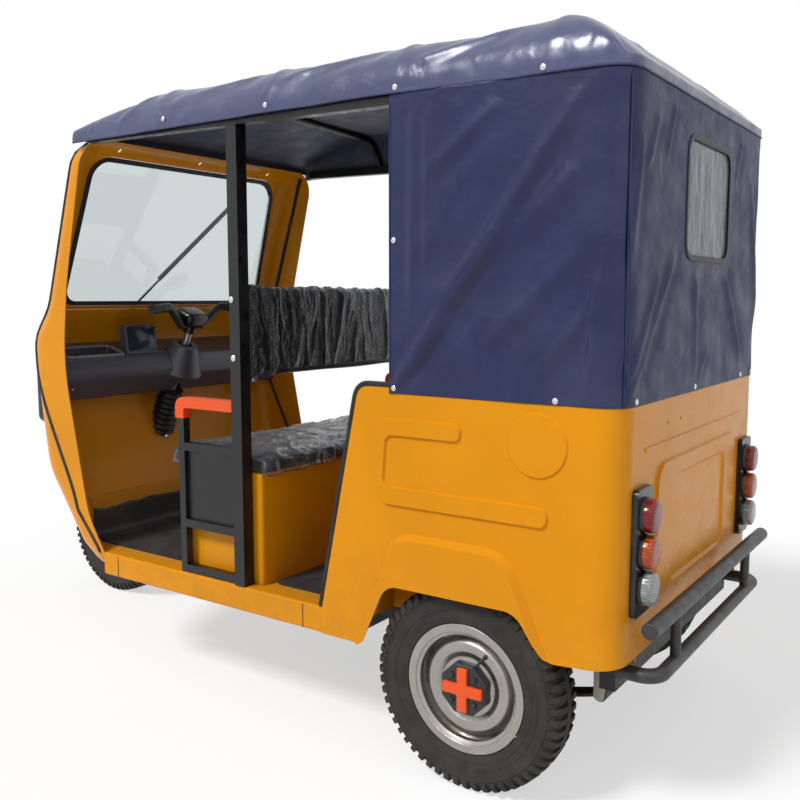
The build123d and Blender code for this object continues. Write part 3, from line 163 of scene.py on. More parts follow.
class NodeBoard:
    """A node tree, with short calls for the nodes that the finishes and the stage use."""

    def __init__(self, owner: bpy.types.Material | bpy.types.World) -> None:
        """Switch the owner's nodes on and take up its tree."""
        owner.use_nodes = True
        self.tree = owner.node_tree

    def node(self, kind: str, **settings) -> bpy.types.Node:
        """Add a node and set its properties.

        Args:
            kind: Node type without its prefix.
            **settings: Properties of the node.

        Returns:
            The node.
        """
        made = self.tree.nodes.new("ShaderNode" + kind)
        for key, value in settings.items():
            setattr(made, key, value)
        return made

    def feed(self, socket: Socket, value) -> None:
        """Link another node's output to a socket, or set the socket's own value.

        Args:
            socket: Input to feed.
            value: Output socket, number or colour.
        """
        if isinstance(value, bpy.types.NodeSocket):
            self.tree.links.new(value, socket)
        elif socket.type == "RGBA":
            socket.default_value = (*value, 1.0)
        else:
            socket.default_value = value

    def fed(self, kind: str, inputs: dict, **settings) -> bpy.types.Node:
        """Add a node and feed its inputs.

        Args:
            kind: Node type without its prefix.
            inputs: What each input gets, by its name or number.
            **settings: Properties of the node.

        Returns:
            The node.
        """
        made = self.node(kind, **settings)
        for key, value in inputs.items():
            self.feed(made.inputs[key], value)
        return made

    def surface(self, **values) -> None:
        """Feed the shader's sockets; an underscore stands for a space in a socket's name."""
        for key, value in values.items():
            self.feed(self.tree.nodes["Principled BSDF"].inputs[key.replace("_", " ")], value)

    def place(self, source: Coordinates = Coordinates.OBJECT, scale: Place = (1, 1, 1)) -> Socket:
        """Coordinates for a pattern, stretched along each axis."""
        coordinates = self.node("TexCoord").outputs[source.value]
        return self.fed("Mapping", {"Vector": coordinates, "Scale": scale}).outputs["Vector"]

    def cloud(self, place: Socket, scale: float, detail: float = 3, rough: float = 0.5,
              twist: float = 0) -> Socket:
        """Smooth noise from 0 to 1, with so many features per metre."""
        inputs = {"Vector": place, "Scale": scale, "Detail": detail, "Roughness": rough, "Distortion": twist}
        return self.fed("TexNoise", inputs).outputs["Fac"]

    def cells(self, place: Socket, scale: float, feature: str = "F1") -> Socket:
        """Distances in a pattern of cells, with so many cells per metre."""
        return self.fed("TexVoronoi", {"Vector": place, "Scale": scale}, feature=feature).outputs["Distance"]

    def bands(self, place: Socket, pitch: float, axis: str = "X") -> Socket:
        """Even lines across an axis, with their pitch in metres."""
        inputs = {"Vector": place, "Scale": math.tau / (20 * pitch)}
        return self.fed("TexWave", inputs, wave_type="BANDS", bands_direction=axis).outputs["Fac"]

    def part(self, place: Socket, axis: str) -> Socket:
        """One axis of coordinates."""
        return self.fed("SeparateXYZ", {0: place}).outputs[axis]

    def reckon(self, operation: str, first, second=0.0) -> Socket:
        """A sum on two values or outputs."""
        return self.fed("Math", {0: first, 1: second}, operation=operation).outputs[0]

    def spread(self, value: Socket, span: Pair, into: Pair = (0, 1)) -> Socket:
        """A value moved from one range into another and held inside it."""
        inputs = dict(zip(("From Min", "From Max", "To Min", "To Max"), (*span, *into)))
        return self.fed("MapRange", {"Value": value, **inputs}).outputs["Result"]

    def patches(self, place: Socket, scale: float, span: Pair, into: Pair = (0, 1), **layers) -> Socket:
        """Smooth noise moved from one range into another."""
        return self.spread(self.cloud(place, scale, **layers), span, into)

    def blend(self, share, first, second) -> Socket:
        """A colour between two: a share of 0 gives the first and 1 the second."""
        return self.fed("Mix", {"Factor": share, 6: first, 7: second}, data_type="RGBA").outputs[2]

    def tones(self, share: Socket, colour: Colour, dark: float, light: float) -> Socket:
        """A colour that goes from a darker to a lighter shade of itself."""
        return self.blend(share, shade(colour, dark), shade(colour, light))

    def bump(self, height: Socket, strength: float, depth: float, under: Socket | None = None) -> Socket:
        """Relief from a height.

        Args:
            height: Height from 0 to 1.
            strength: Share of the relief that shows.
            depth: Depth of a full step, in metres.
            under: Another relief's output that this one lies on.

        Returns:
            The normal.
        """
        made = self.fed("Bump", {"Height": height, "Strength": strength, "Distance": depth})
        if under is not None:
            self.feed(made.inputs["Normal"], under)
        return made.outputs["Normal"]


ROAD_DUST = srgb(126, 104, 70)
RUBBER_DUST = srgb(98, 94, 88)
MAT_DUST = srgb(104, 98, 90)
MOULDING_DUST = srgb(128, 124, 118)
CHALK = srgb(120, 126, 148)


@dataclass(frozen=True)
class Finish:
    """A surface finish with its colour; each kind lays its own nodes."""

    name: str
    colour: Colour

    def material(self) -> bpy.types.Material:
        """The finish's material, made at its first use.

        Returns:
            The same material each time.
        """
        found = bpy.data.materials.get(self.name)
        if not found:
            found = bpy.data.materials.new(self.name)
            self.lay(NodeBoard(found))
        return found

    def lay(self, board: NodeBoard) -> None:
        """Lay the nodes; each kind of finish has its own."""
        raise NotImplementedError(self.name)


@dataclass(frozen=True)
class Enamel(Finish):
    """Baked gloss paint over pressed steel, with road dust low down."""

    gloss: float = 0.24
    dust: float = 0.3
    dust_line: Pair = (0.3, 0.62)

    def lay(self, board: NodeBoard) -> None:
        """Lay broad tone, orange peel, faint panel waves and dust below the sills.

        Args:
            board: Where they go.
        """
        place = board.place()
        tone = board.tones(board.patches(place, 2.2, (0.3, 0.7), detail=4), self.colour, 0.9, 1.05)
        low = board.spread(board.part(place, "Z"), self.dust_line, (1, 0))
        dust = board.patches(place, 17, (0.38, 0.75), (0, self.dust), detail=6, rough=0.62)
        grime = board.reckon("MULTIPLY", low, dust)
        smear = board.patches(place, 9, (0.35, 0.7), (self.gloss, self.gloss + 0.14), detail=5, rough=0.6)
        dull = board.reckon("ADD", smear, board.reckon("MULTIPLY", grime, 0.9))
        board.surface(Base_Color=board.blend(grime, tone, ROAD_DUST), Roughness=dull, Specular_IOR_Level=0.16)
        waves = board.bump(board.cloud(place, 5.5, detail=1), 0.22, 0.012)
        board.surface(Normal=board.bump(board.cloud(place, 420, detail=1), 0.06, 0.0006, waves))


@dataclass(frozen=True)
class CoatedCloth(Finish):
    """Coated canopy cloth: a woven base under a satin skin, with creases and chalky wear."""

    chalk: float = 0.25
    gloss: float = 0.4
    shine: float = 0.3
    yarn: float = 0.0018

    def lay(self, board: NodeBoard) -> None:
        """Lay the weave, soft creases, folded lines and chalky wear.

        Args:
            board: Where they go.
        """
        place = board.place(Coordinates.CLOTH)
        wear = board.patches(place, 3.2, (0.42, 0.74), (0, self.chalk), detail=6, rough=0.6, twist=0.8)
        rubbed = board.patches(place, 26, (0.55, 0.75), (0, self.chalk * 0.5), detail=5, rough=0.7)
        pale = board.blend(0.4, shade(self.colour, 1.6), CHALK)
        tone = board.tones(board.patches(place, 5, (0.3, 0.7)), self.colour, 0.82, 1.12)
        satin = (self.gloss - 0.08, self.gloss + 0.16)
        board.surface(Base_Color=board.blend(board.reckon("MAXIMUM", wear, rubbed), tone, pale))
        board.surface(Roughness=board.patches(place, 11, (0.3, 0.72), satin, detail=4, rough=0.6))
        creases = board.bump(board.cloud(place, 8, detail=2, twist=1.2), 0.35, 0.012)
        crushed = board.bump(board.cells(place, 24, "SMOOTH_F1"), 0.12, 0.004, creases)
        weave = board.reckon("ADD", board.bands(place, self.yarn, "X"), board.bands(place, self.yarn, "Y"))
        board.surface(Normal=board.bump(weave, 0.1, 0.0003, crushed), Specular_IOR_Level=self.shine)


@dataclass(frozen=True)
class SeatVinyl(Finish):
    """Grained seat covering."""

    gloss: Pair = (0.3, 0.5)
    grain: float = 420

    def lay(self, board: NodeBoard) -> None:
        """Lay a leather grain, pressed creases and worn gloss.

        Args:
            board: Where they go.
        """
        place = board.place()
        board.surface(Base_Color=board.tones(board.cloud(place, 7, detail=4), self.colour, 0.7, 1.7))
        board.surface(Roughness=board.patches(place, 12, (0.3, 0.7), self.gloss, detail=5))
        creases = board.bump(board.cloud(place, 16, detail=4, rough=0.55, twist=1.5), 0.35, 0.006)
        board.surface(Normal=board.bump(board.cells(place, self.grain), 0.16, 0.0008, creases))
        board.surface(Specular_IOR_Level=0.45)


@dataclass(frozen=True)
class CrinkledFilm(Finish):
    """Clear protective film: nearly unseen where flat, bright along its crinkles, with a faint whitish veil
    that is partly its own haze and partly painted sheen.
    """

    clear: float = 0.94
    stretch: Place = (1, 1.6, 1)
    gloss: Pair = (0.05, 0.16)

    def lay(self, board: NodeBoard) -> None:
        """Lay crinkles that catch the light on a nearly clear skin.

        Args:
            board: Where they go.
        """
        place = board.place(scale=self.stretch)
        wide = board.cloud(place, 13, rough=0.55, twist=2.4)
        fine = board.cloud(place, 42, rough=0.6, twist=1.5)
        middle = (board.reckon("SUBTRACT", size, 0.5) for size in (wide, fine))
        ridge, crinkle = (board.reckon("ABSOLUTE", value) for value in middle)
        # The white share left by clear below 1 is a faint even veil: partly the film's haze, partly painted
        # sheen for the sky reflected in the film.
        board.surface(Base_Color=self.colour, Transmission_Weight=self.clear, IOR=1.42)
        board.surface(Roughness=board.spread(wide, (0.3, 0.7), self.gloss))
        board.surface(Normal=board.bump(crinkle, 0.6, 0.004, board.bump(ridge, 0.9, 0.014)))


@dataclass(frozen=True)
class Rubber(Finish):
    """Matt rubber with a bloom of dust."""

    dust: float = 0.35
    rough: float = 0.72

    def lay(self, board: NodeBoard) -> None:
        """Lay a fine pitted skin and grey dust.

        Args:
            board: Where they go.
        """
        place = board.place()
        bloom = board.patches(place, 14, (0.4, 0.75), (0, self.dust), detail=6, rough=0.65)
        board.surface(Base_Color=board.blend(bloom, self.colour, RUBBER_DUST), Specular_IOR_Level=0.35)
        matt = (self.rough - 0.1, self.rough + 0.12)
        board.surface(Roughness=board.patches(place, 30, (0.3, 0.7), matt, detail=4))
        board.surface(Normal=board.bump(board.cloud(place, 320, detail=4, rough=0.6), 0.2, 0.0008))


@dataclass(frozen=True)
class RibbedMat(Finish):
    """Ribbed floor rubber."""

    pitch: float = 0.011
    dust: float = 0.4
    gloss: Pair = (0.5, 0.72)

    def lay(self, board: NodeBoard) -> None:
        """Lay ribs along the floor, worn tone and dust between the ribs.

        Args:
            board: Where they go.
        """
        place = board.place()
        ribs = board.bands(place, self.pitch, "X")
        bloom = board.patches(place, 9, (0.4, 0.75), (0, self.dust), detail=6, rough=0.6)
        between = board.reckon("MULTIPLY", board.spread(ribs, (0.2, 0.6), (1, 0.3)), bloom)
        board.surface(Base_Color=board.blend(between, self.colour, MAT_DUST))
        board.surface(Roughness=board.patches(place, 15, (0.3, 0.7), self.gloss))
        board.surface(Normal=board.bump(ribs, 0.5, 0.002))


@dataclass(frozen=True)
class Steel(Finish):
    """Painted or bare metal with a fine surface and stains."""

    metal: float = 0.0
    rough: float = 0.4
    stain: Colour = (0.05, 0.04, 0.03)
    stained: float = 0.3
    grain: float = 0.12

    def lay(self, board: NodeBoard) -> None:
        """Lay tone, stains, a sprayed or cast grain and uneven gloss.

        Args:
            board: Where they go.
        """
        place = board.place()
        patch = board.patches(place, 18, (0.48, 0.78), (0, self.stained), detail=7, rough=0.65, twist=0.4)
        tone = board.tones(board.cloud(place, 6), self.colour, 0.85, 1.15)
        board.surface(Base_Color=board.blend(patch, tone, self.stain), Metallic=self.metal)
        gloss = (self.rough - 0.08, self.rough + 0.14)
        board.surface(Roughness=board.patches(place, 33, (0.3, 0.7), gloss, detail=5, rough=0.6))
        board.surface(Normal=board.bump(board.cloud(place, 240, rough=0.6), self.grain, 0.0012))


@dataclass(frozen=True)
class Moulding(Finish):
    """Moulded plastic with a spark-eroded grain."""

    rough: float = 0.45
    grain: float = 0.2
    dust: float = 0.16

    def lay(self, board: NodeBoard) -> None:
        """Lay the mould's grain, a little dust and finger shine.

        Args:
            board: Where they go.
        """
        place = board.place()
        bloom = board.patches(place, 11, (0.5, 0.8), (0, self.dust), detail=6, rough=0.65)
        board.surface(Base_Color=board.blend(bloom, self.colour, MOULDING_DUST))
        gloss = (self.rough - 0.08, self.rough + 0.1)
        board.surface(Roughness=board.patches(place, 8, (0.3, 0.7), gloss, detail=4))
        board.surface(Normal=board.bump(board.cells(place, 620), self.grain, 0.0005))


@dataclass(frozen=True)
class Pane(Finish):
    """Clear glass with faint smears."""

    rough: float = 0.02

    def lay(self, board: NodeBoard) -> None:
        """Lay upright smears in the gloss.

        Args:
            board: Where they go.
        """
        place = board.place(scale=(1, 1, 0.3))
        board.surface(Base_Color=self.colour, Transmission_Weight=1.0, IOR=1.45)
        gloss = (self.rough, self.rough + 0.08)
        board.surface(Roughness=board.patches(place, 7, (0.45, 0.8), gloss, detail=6, rough=0.65))


@dataclass(frozen=True)
class MilkySheet(Finish):
    """Clear plastic sheet that has gone a little milky along its upright ripples."""

    milk: float = 0.42
    gloss: Pair = (0.1, 0.25)

    def lay(self, board: NodeBoard) -> None:
        """Lay upright streaks of milkiness and gloss.

        Args:
            board: Where they go.
        """
        place = board.place(scale=(1, 1, 0.12))
        streaks = board.cloud(place, 30, rough=0.55, twist=0.8)
        board.surface(Base_Color=board.tones(streaks, self.colour, 0.8, 1.2))
        board.surface(Alpha=board.spread(streaks, (0.3, 0.7), (self.milk * 0.6, self.milk * 1.5)))
        board.surface(Roughness=board.spread(streaks, (0.3, 0.7), self.gloss))
        board.surface(Normal=board.bump(streaks, 0.3, 0.006))


@dataclass(frozen=True)
class LampLens(Finish):
    """Fluted lamp moulding."""

    clear: float = 0.35
    flute: float = 0.007
    gloss: Pair = (0.1, 0.22)

    def lay(self, board: NodeBoard) -> None:
        """Lay crossed flutes below a glossy skin.

        Args:
            board: Where they go.
        """
        place = board.place()
        across, down = (board.bands(place, self.flute, axis) for axis in "XZ")
        flutes = board.reckon("MULTIPLY", across, down)
        tone = board.tones(board.spread(flutes, (0.1, 0.9)), self.colour, 0.55, 1.15)
        board.surface(Base_Color=tone, Transmission_Weight=self.clear, Specular_IOR_Level=0.35)
        board.surface(Roughness=board.spread(flutes, (0, 1), self.gloss))
        board.surface(Normal=board.bump(flutes, 0.35, 0.0018), Coat_Weight=0.2, Coat_Roughness=0.06)


YELLOW = Enamel("yellow_enamel", srgb(222, 144, 5), gloss=0.2)
YELLOW_FLOOR = Enamel("yellow_enamel_floor", srgb(214, 142, 24), gloss=0.34, dust=0.55)
CANOPY = CoatedCloth("navy_cloth", srgb(22, 30, 74), gloss=0.31, shine=0.4)
# Painted highlight: the roof's cloth is a lighter copy of the walls' navy cloth, painted lighter to stand for
# the light on the roof's rolls.
CANOPY_ROOF_LIT = CoatedCloth("navy_cloth_roof_lit", srgb(46, 55, 99), chalk=0.24, gloss=0.24, shine=0.9)
CANOPY_REAR = CoatedCloth("navy_cloth_rear", srgb(32, 37, 74), chalk=0.3, gloss=0.46)
LINING = CoatedCloth("navy_cloth_lining", srgb(72, 77, 98), chalk=0.1, gloss=0.5)
CANOPY_BAND = CoatedCloth("navy_cloth_band", srgb(36, 41, 80), chalk=0.3, gloss=0.38)
BINDING = CoatedCloth("black_binding", srgb(22, 23, 27), chalk=0.12, gloss=0.42)
VINYL = SeatVinyl("black_vinyl", srgb(20, 20, 23))
# The films' whitish veil (clear below 1) is partly haze and partly painted sheen for reflected sky.
FILM = CrinkledFilm("clear_film", srgb(222, 225, 230), clear=0.975)
FILM_BACK = CrinkledFilm("clear_film_back", srgb(214, 217, 222), clear=0.99, stretch=(1.3, 1.0, 0.35))
TYRE = Rubber("tyre_rubber", srgb(42, 38, 35), dust=0.2, rough=0.78)
TRIM = Rubber("edge_rubber", srgb(20, 20, 22), dust=0.15, rough=0.5)
MAT = RibbedMat("mat_rubber", srgb(35, 35, 37))
BLACK_STEEL = Steel("black_enamel", srgb(9, 9, 11), rough=0.34, stain=srgb(52, 49, 46), stained=0.14)
CHASSIS = Steel("chassis_enamel", srgb(30, 30, 32), rough=0.55, stain=srgb(92, 74, 56), stained=0.4)
BUMPER = Steel("bumper_enamel", srgb(44, 43, 44), rough=0.42, stain=srgb(96, 90, 84), stained=0.3)
CAST = Steel("cast_iron", srgb(50, 49, 48), metal=0.3, rough=0.6, stain=srgb(98, 66, 42), stained=0.35,
             grain=0.35)
SPRING = Steel("spring_leaf_steel", srgb(58, 57, 58), metal=0.4, rough=0.5, stain=srgb(104, 72, 46),
               stained=0.4)
SHACKLE = Steel("plated_steel", srgb(176, 170, 158), metal=0.7, rough=0.42, stain=srgb(110, 92, 70),
                stained=0.4)
FORK = Steel("fork_tube_steel", srgb(168, 170, 174), metal=0.85, rough=0.3, stain=srgb(88, 84, 80),
             stained=0.2)
RIM = Steel("painted_rim", srgb(164, 160, 155), metal=0.95, rough=0.3, stain=srgb(112, 104, 94),
            stained=0.25)
HUB = Steel("hub_enamel", srgb(30, 30, 32), rough=0.42, stain=srgb(84, 80, 76), stained=0.2)
BRIGHT = Steel("bright_steel", srgb(206, 208, 212), metal=1.0, rough=0.22, stain=srgb(120, 112, 100),
               stained=0.12)
PLASTIC = Moulding("black_moulding", srgb(46, 46, 52), rough=0.38)
# Painted light: the dash is a lighter copy of the black moulding, painted lighter to stand for the sky light
# that falls on its top.
DASH_LIT = Moulding("dash_moulding_lit", srgb(78, 78, 90), rough=0.34)
DARK_PLASTIC = Moulding("black_gloss_moulding", srgb(18, 18, 20), rough=0.24, grain=0.05)
BATTERY = Moulding("battery_moulding", srgb(46, 47, 50), rough=0.6)
ORANGE = Moulding("orange_moulding", srgb(228, 78, 6), rough=0.4)
# Painted highlight: the tray's rim is shiny black, painted light grey to stand for the highlight along it.
TRAY_RIM_HIGHLIGHT = Moulding("tray_rim", srgb(142, 144, 148), rough=0.3, grain=0.05)
DISPLAY = Moulding("display_face", srgb(40, 50, 64), rough=0.14, grain=0.0)
GREY_GRIP = Moulding("grey_grip", srgb(150, 152, 154), rough=0.5)
GLASS = Pane("screen_glass", srgb(205, 213, 213))
WINDOW = MilkySheet("window_sheet", srgb(128, 133, 140), milk=0.62)
RED_LENS = LampLens("red_lens", srgb(150, 14, 16), clear=0.1)
AMBER_LENS = LampLens("amber_lens", srgb(204, 84, 12), clear=0.1)
CLEAR_LENS = LampLens("clear_lens", srgb(206, 210, 212), clear=0.4)


class Workshop:
    """Turns meshes into pieces that ride on a body, and keeps the list of what was made."""

    def __init__(self) -> None:
        """Start with no pieces."""
        self.made: list[Piece] = []

    def piece(self, mesh: Mesh, name: str, finish: Finish, slot: str, body: Body = Body.SHELL,
              stands_for: Sequence[str] = (), smooth: float = 40.0) -> Piece:
        """Make an object from a mesh, with its finish and its body.

        Args:
            mesh: Finished mesh in the frame; it is freed here.
            name: Name of the piece.
            finish: Its finish.
            slot: The record's material slot; not used.
            body: The body that it rides on.
            stands_for: CAD nodes that it stands for.
            smooth: Angle in degrees above which an edge stays sharp.

        Returns:
            The object.
        """
        made = linked(mesh, name)
        made.data.materials.append(finish.material())
        made.data.shade_smooth()
        made.data.set_sharp_from_angle(angle=math.radians(smooth))
        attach(made, body.value)
        if stands_for:
            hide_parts(*stands_for)
        self.made.append(made)
        LOG.info("%s: %d faces", name, len(made.data.polygons))
        return made

    def dress(self, finish: Finish, nodes: Sequence[str]) -> None:
        """Give CAD nodes a finish.

        Args:
            finish: The finish.
            nodes: Names of the nodes.
        """
        for node in nodes:
            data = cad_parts[node].data
            data.materials.clear()
            data.materials.append(finish.material())
            LOG.info("%s: %s", node, finish.name)


@dataclass
class Assembly:
    """A sub-assembly of the vehicle, which makes its pieces in the workshop."""

    shop: Workshop

    def build(self) -> None:
        """Build the pieces; each sub-assembly has its own."""
        raise NotImplementedError(type(self).__name__)


def linked(mesh: Mesh, name: str) -> Piece:
    """Put a mesh into the scene as an object.

    Args:
        mesh: The mesh; it is freed here.
        name: Name of the object.

    Returns:
        The object.
    """
    data = bpy.data.meshes.new(name)
    mesh.to_mesh(data)
    mesh.free()
    made = bpy.data.objects.new(name, data)
    bpy.context.scene.collection.objects.link(made)
    return made


def opened(data: bpy.types.Mesh) -> Mesh:
    """A copy of mesh data, ready for editing."""
    mesh = bmesh.new()
    mesh.from_mesh(data)
    return mesh


def recalculated(mesh: Mesh) -> Mesh:
    """Merge doubles and turn every face outwards."""
    bmesh.ops.remove_doubles(mesh, verts=mesh.verts, dist=WELD)
    bmesh.ops.recalc_face_normals(mesh, faces=mesh.faces)
    return mesh


def bevelled(mesh: Mesh, geom: Sequence, offset: float, segments: int = 2, affect: str = "EDGES") -> None:
    """Round edges or corners of a mesh off."""
    bmesh.ops.bevel(mesh, geom=geom, offset=offset, affect=affect, segments=segments, profile=0.5,
                    material=-1)


def lathed(profile: Sequence[Pair], centre: Vector, axis: Vector, steps: int = 24) -> Mesh:
    """Spin a profile about an axis.

    Args:
        profile: Places as (along the axis, radius).
        centre: Where the axis starts.
        axis: Direction of the axis.
        steps: Number of steps in a full turn.

    Returns:
        The closed mesh.
    """
    way = axis.normalized()
    across = way.orthogonal().normalized()
    mesh = bmesh.new()
    verts = [mesh.verts.new(centre + way * along + across * radius) for along, radius in profile]
    edges = [mesh.edges.new(pair) for pair in zip(verts, verts[1:])]
    bmesh.ops.spin(mesh, geom=verts + edges, cent=centre, axis=way, angle=math.tau, steps=steps,
                   use_merge=True)
    return recalculated(mesh)


def joined(meshes: Iterable[Mesh]) -> Mesh:
    """Put several meshes into one.

    Args:
        meshes: Meshes to join; they are freed here.

    Returns:
        The joined mesh.
    """
    whole = bmesh.new()
    for mesh in meshes:
        data = bpy.data.meshes.new("joint")
        mesh.to_mesh(data)
        mesh.free()
        whole.from_mesh(data)
        bpy.data.meshes.remove(data)
    return whole


def both_sides(mesh: Mesh) -> Mesh:
    """Put a mesh together with its mirror image on the other side of the vehicle.

    Args:
        mesh: The mesh; it is freed here.

    Returns:
        Both in one mesh.
    """
    copy = mesh.copy()
    bmesh.ops.scale(copy, vec=MIRROR, verts=copy.verts)
    bmesh.ops.reverse_faces(copy, faces=copy.faces)
    return joined([copy, mesh])


def rounded(corners: Sequence[tuple[Vector, float]], steps: int = 8) -> list[Vector]:
    """A line through corners, each with its own rounding.

    Args:
        corners: Places with their radius.
        steps: Steps in each rounding.

    Returns:
        Points along the line.
    """
    points = [corners[0][0]]
    for (before, _), (corner, radius), (after, _) in zip(corners, corners[1:], corners[2:]):
        back, on = (before - corner).normalized(), (after - corner).normalized()
        reach = radius / math.tan(back.angle(on) / 2)
        first, last = corner + back * reach, corner + on * reach
        for step in range(steps + 1):
            share = step / steps
            points.append(first.lerp(corner, share).lerp(corner.lerp(last, share), share))
    points.append(corners[-1][0])
    return points


def tube(points: Sequence[Vector], radius: float, sides: int = 3, flat: float = 1.0) -> Mesh:
    """A round bar along a line.

    Args:
        points: The line.
        radius: Its radius.
        sides: Resolution of the round.
        flat: Share of the radius kept across x.

    Returns:
        The closed mesh.
    """
    curve = bpy.data.curves.new("line", "CURVE")
    curve.dimensions = "3D"
    curve.bevel_depth = radius
    curve.bevel_resolution = sides
    curve.use_fill_caps = True
    spline = curve.splines.new("POLY")
    spline.points.add(len(points) - 1)
    for point, place in zip(spline.points, points):
        point.co = (*place, 1.0)
    holder = bpy.data.objects.new("line", curve)
    data = bpy.data.meshes.new_from_object(holder)
    mesh = opened(data)
    bpy.data.objects.remove(holder)
    bpy.data.curves.remove(curve)
    bpy.data.meshes.remove(data)
    if flat != 1.0:
        middle = sum(point.x for point in points) / len(points)
        for vert in mesh.verts:
            vert.co.x = middle + (vert.co.x - middle) * flat
    return recalculated(mesh)


def rectangle(span: Span, grow: float = 0.0) -> list[Pair]:
    """The corners of a rectangle.

    Args:
        span: Its two ends along each side.
        grow: How much it is grown on every side.

    Returns:
        The four corners in order.
    """
    (left, right), (low, high) = span
    left, right, low, high = left - grow, right + grow, low - grow, high + grow
    return [(left, low), (right, low), (right, high), (left, high)]


def panel(corners: Sequence[Pair], radius: float, lift: Callable[[float, float], Vector], thickness: Vector,
          round_off: float, inner: float = 0.0) -> Mesh:
    """A flat plate with rounded corners, or a frame of even width.

    Args:
        corners: The outline's corners in its own plane.
        radius: Rounding of the corners.
        lift: Gives the place in the frame of a point of the plane.
        thickness: Way and amount in which the plate is raised.
        round_off: Rounding of its raised edge.
        inner: Width of a frame; 0 keeps the plate whole.

    Returns:
        The closed mesh.
    """
    mesh = bmesh.new()
    face = mesh.faces.new([mesh.verts.new((a, b, 0)) for a, b in corners])
    if radius:
        bevelled(mesh, face.verts[:], radius, 6, "VERTICES")
    if inner:
        bmesh.ops.inset_region(mesh, faces=mesh.faces[:], thickness=inner, use_even_offset=True,
                               use_boundary=True)
        middle = [face for face in mesh.faces if all(not edge.is_boundary for edge in face.edges)]
        bmesh.ops.delete(mesh, geom=middle, context="FACES_ONLY")
    for vert in mesh.verts:
        vert.co = lift(vert.co.x, vert.co.y)
    raised = bmesh.ops.extrude_face_region(mesh, geom=mesh.faces[:], use_keep_orig=True)["geom"]
    top = [item for item in raised if isinstance(item, bmesh.types.BMFace)]
    moved = [item for item in raised if isinstance(item, bmesh.types.BMVert)]
    bmesh.ops.translate(mesh, vec=thickness, verts=moved)
    rim = {edge for face in top for edge in face.edges if sum(link in top for link in edge.link_faces) == 1}
    bevelled(mesh, list(rim), round_off)
    return recalculated(mesh)


def sheet(size: Pair, cell: float, form: Callable[[float, float], Vector]) -> Mesh:
    """A cloth grid laid onto a form, with a map of the flat cloth in metres.

    Args:
        size: Flat width and length.
        cell: Size of a cell.
        form: Gives the place in the frame of a point of the flat cloth.

    Returns:
        The open mesh.
    """
    width, length = size
    mesh = bmesh.new()
    flat = mesh.loops.layers.uv.new("cloth")
    across, along = round(width / cell), round(length / cell)
    bmesh.ops.create_grid(mesh, x_segments=across, y_segments=along, size=0.5)
    for face in mesh.faces:
        for loop in face.loops:
            loop[flat].uv = ((loop.vert.co.x + 0.5) * width, (loop.vert.co.y + 0.5) * length)
    for vert in mesh.verts:
        vert.co = form((vert.co.x + 0.5) * width, (vert.co.y + 0.5) * length)
    return mesh


def thickened(piece: Piece, amount: float, offset: float = -1.0, lining: Finish | None = None) -> None:
    """Give a sheet its thickness.

    Args:
        piece: The sheet.
        amount: Thickness in metres.
        offset: -1 thickens behind the faces, 1 in front of them.
        lining: Finish of the inner face, where it has its own.
    """
    solid = piece.modifiers.new("thickness", "SOLIDIFY")
    solid.thickness = amount
    solid.offset = offset
    if lining:
        piece.data.materials.append(lining.material())
        solid.material_offset = 1


def studs(places: Sequence[tuple[Vector, Vector]], radius: float, height: float) -> Mesh:
    """Small domed heads.

    Args:
        places: Foot and outward way of each head.
        radius: Radius of a head.
        height: Height of a head.

    Returns:
        One mesh with all heads.
    """
    sunk = -0.002
    wall, dome = (height * 0.35, radius), (height * 0.8, radius * 0.7)
    profile = [(sunk, 0.0), (sunk, radius), wall, dome, (height, 0.0)]
    return joined(lathed(profile, foot, way, 12) for foot, way in places)


def face_out(mesh: Mesh, way: Vector) -> None:
    """Turn an open sheet's faces towards a side.

    Args:
        mesh: The sheet.
        way: The side that its faces look to.
    """
    bmesh.ops.recalc_face_normals(mesh, faces=mesh.faces)
    mesh.normal_update()
    if sum(face.normal.dot(way) for face in mesh.faces) < 0:
        bmesh.ops.reverse_faces(mesh, faces=mesh.faces)


def touch(node: str, start: Vector, way: Vector) -> Vector:
    """Where a straight line first meets a CAD node.

    Args:
        node: Name of the node.
        start: Where the line starts.
        way: Its direction.

    Returns:
        The place, or the start where nothing is met.
    """
    mesh = opened(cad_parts[node].data)
    place = BVHTree.FromBMesh(mesh).ray_cast(start, way)[0]
    mesh.free()
    return place or start


def applied(piece: Piece) -> None:
    """Put what a piece's modifiers make into its mesh, and take them off.

    Args:
        piece: The piece.
    """
    graph = bpy.context.evaluated_depsgraph_get()
    data = bpy.data.meshes.new_from_object(piece.evaluated_get(graph))
    piece.modifiers.clear()
    piece.data = data


@dataclass(frozen=True)
class Fold:
    """A crease in hung cloth, from one place to another of its flat form, with a trough beside it."""

    start: Pair
    end: Pair
    height: float
    width: float
    fade_in: Pair = (-0.12, 0.16)
    fade_out: Pair = (0.8, 1.15)
    trough: float = 0.6
    trough_off: float = 1.9
    trough_width: float = 1.3

    def lift(self, a: float, b: float) -> float:
        """How far the crease lifts the cloth at a place.

        Args:
            a: First coordinate on the cloth.
            b: Second coordinate on the cloth.

        Returns:
            The lift in metres.
        """
        ax, ay = self.start
        dx, dy = self.end[0] - ax, self.end[1] - ay
        length = math.hypot(dx, dy)
        along = ((a - ax) * dx + (b - ay) * dy) / (length * length)
        aside = ((a - ax) * dy - (b - ay) * dx) / length
        fade = ease(along, *self.fade_in) * (1 - ease(along, *self.fade_out))
        crest = math.exp(-(aside / self.width) ** 2)
        trough = math.exp(-((aside - self.trough_off * self.width) / (self.trough_width * self.width)) ** 2)
        return self.height * fade * (crest - self.trough * trough)


